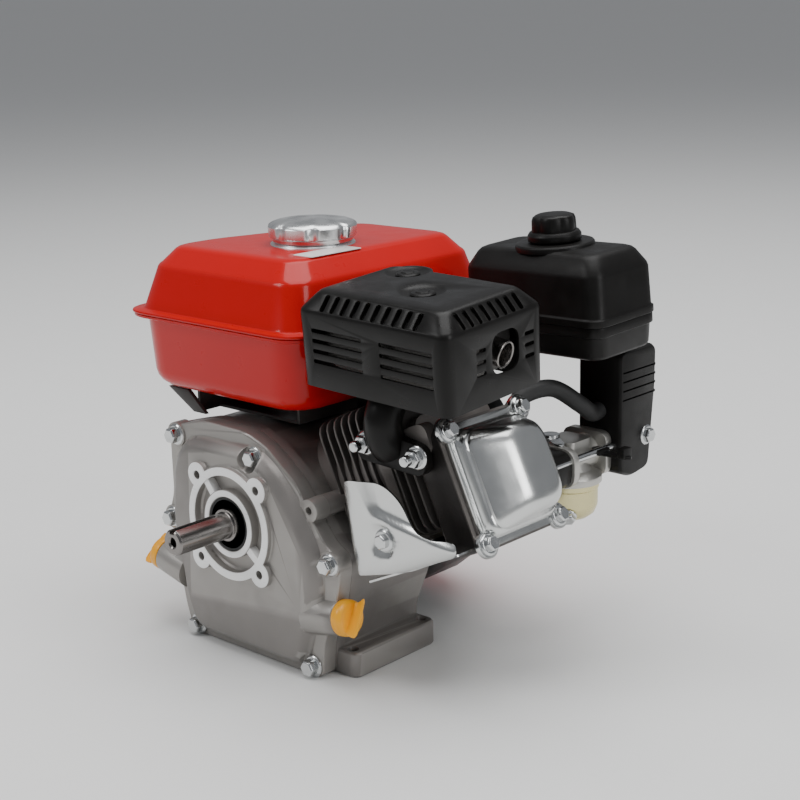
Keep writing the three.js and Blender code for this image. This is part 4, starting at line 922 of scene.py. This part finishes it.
def carried_over():
    """CAD nodes whose shape is right keep it and take a finished material; some show with softened edges."""
    looks = {
        STEEL: ["pto_bearing", "flywheel_bearing", "piston", "connecting_rod", "big_end_bearing",
                "spark_plug",
                "intake_rocker", "exhaust_rocker", "intake_push_rod", "exhaust_push_rod"],
        SHAFT: ["intake_valve", "exhaust_valve"],
        IRON: ["cylinder_sleeve", "camshaft", "flywheel"],
        RUBBER: ["spark_plug_boot"],
        PAPER: ["air_filter"],
        PLASTIC: ["cooling_fan", "ignition_coil", "starter_reel"],
    }
    for look, names in looks.items():
        for name in names:
            data = frame["nodes"][name].data
            data.materials.clear()
            data.materials.append(look)
    softened = {
        "starter_handle": (PLASTIC, "black_plastic", 1.2), "stop_switch": (PLASTIC, "black_plastic", 0.8),
        "fuel_cock": (SATIN, "satin_plate", 0.5), "fuel_cock_lever": (PLASTIC, "black_plastic", 0.6),
        "throttle_arm": (ZINC, "zinc_plate", 0.3), "choke_lever": (PLASTIC, "black_plastic", 0.5),
        "throttle_lever": (PLASTIC, "black_plastic", 0.5), "control_plate": (ZINC, "zinc_plate", 0.3),
        # The tank bracket takes the near-black painted-shade colour.
        "tank_bracket": (BRACKET_SHADE_PAINT, "grey_paint", 0.5), "intake_insulator": (PLASTIC, "black_plastic", 0.8),
    }
    owner = {n: body for body, names in frame["record"]["behaviour"]["bodies"].items() for n in names}
    for name, (look, slot, edge) in softened.items():
        show(copy_of(name), f"{name}_finished", look, owner[name], [name], edge=edge)


# ---- Stage -----------------------------------------------------------------------------------
# Radius and height of the floor's rings: flat round the engine, rising gently far away to hide the horizon.
FLOOR_SIDES = 96
FLOOR_RINGS = [(4000, -0.4), (8000, 40), (14000, 260), (24000, 1100), (40000, 3200)]


def camera():
    data = bpy.data.cameras.new("camera")
    data.lens = CAMERA_LENS
    data.sensor_width = 36
    data.clip_end = 2000
    obj = bpy.data.objects.new("camera", data)
    bpy.context.scene.collection.objects.link(obj)
    az, el, roll = map(math.radians, (PHOTO_AZIMUTH, PHOTO_ELEVATION, PHOTO_ROLL))
    back = Vector((math.sin(az) * math.cos(el), -math.cos(az) * math.cos(el), math.sin(el)))
    right = Vector((math.cos(az), math.sin(az), 0))
    up = back.cross(right)
    x_axis = right * math.cos(roll) + up * math.sin(roll)
    y_axis = up * math.cos(roll) - right * math.sin(roll)
    matrix = Matrix((x_axis, y_axis, back)).transposed().to_4x4()
    matrix.translation = CAMERA_PLACE
    obj.matrix_world = matrix
    bpy.context.scene.camera = obj


def area_light(name, place, size, power, target=(0.02, 0.0, 0.15)):
    data = bpy.data.lights.new(name, "AREA")
    data.shape = "RECTANGLE"
    data.size, data.size_y = size
    data.energy = power
    obj = bpy.data.objects.new(name, data)
    obj.location = place
    obj.rotation_euler = (Vector(target) - Vector(place)).to_track_quat("-Z", "Y").to_euler()
    bpy.context.scene.collection.objects.link(obj)


def studio():
    rings = [ring(circle(radius, count=FLOOR_SIDES), height) for radius, height in FLOOR_RINGS]
    verts = [point for points in rings for point in points]
    faces = [tuple(range(FLOOR_SIDES))]
    for r in range(len(rings) - 1):
        for i in range(FLOOR_SIDES):
            j = (i + 1) % FLOOR_SIDES
            inner, outer = r * FLOOR_SIDES, (r + 1) * FLOOR_SIDES
            faces.append((inner + i, inner + j, outer + j, outer + i))
    floor = make("floor", verts, faces)
    concrete = material("pale_floor", (0.8, 0.8, 0.79), 0.0, 0.7, grain=80, bump=0.01, blotch=0.01)
    floor.data.materials.append(concrete)
    world = bpy.data.worlds.new("studio")
    bpy.context.scene.world = world
    world.use_nodes = True
    world.node_tree.nodes["Background"].inputs["Color"].default_value = (0.8, 0.82, 0.86, 1)
    world.node_tree.nodes["Background"].inputs["Strength"].default_value = 0.34
    area_light("top", (0.2, 0.3, 3.0), (3.0, 3.0), 120)
    area_light("key", (-0.8, -1.3, 1.5), (0.7, 0.7), 10)
    area_light("side", (1.8, 0.2, 0.9), (0.5, 1.0), 8)


camera()
studio()
fuel_tank()
fuel_cap()
muffler_guard()
muffler()
exhaust_pipe()
side_cover()
machined_ring()
crankcase()
cover_bolts()
cylinder_fins()
valve_cover()
cylinder_shroud()
output_shaft()
filler_plug("oil_dipstick", "dipstick_plug", "oil_dipstick")
filler_plug("oil_filler_plug", "filler_plug", "oil_filler_plug")
air_cleaner()
air_knob()
intake_elbow()
carburetor()
hoses()
starter_rope()
starter_housing()
fan_housing()
carried_over()
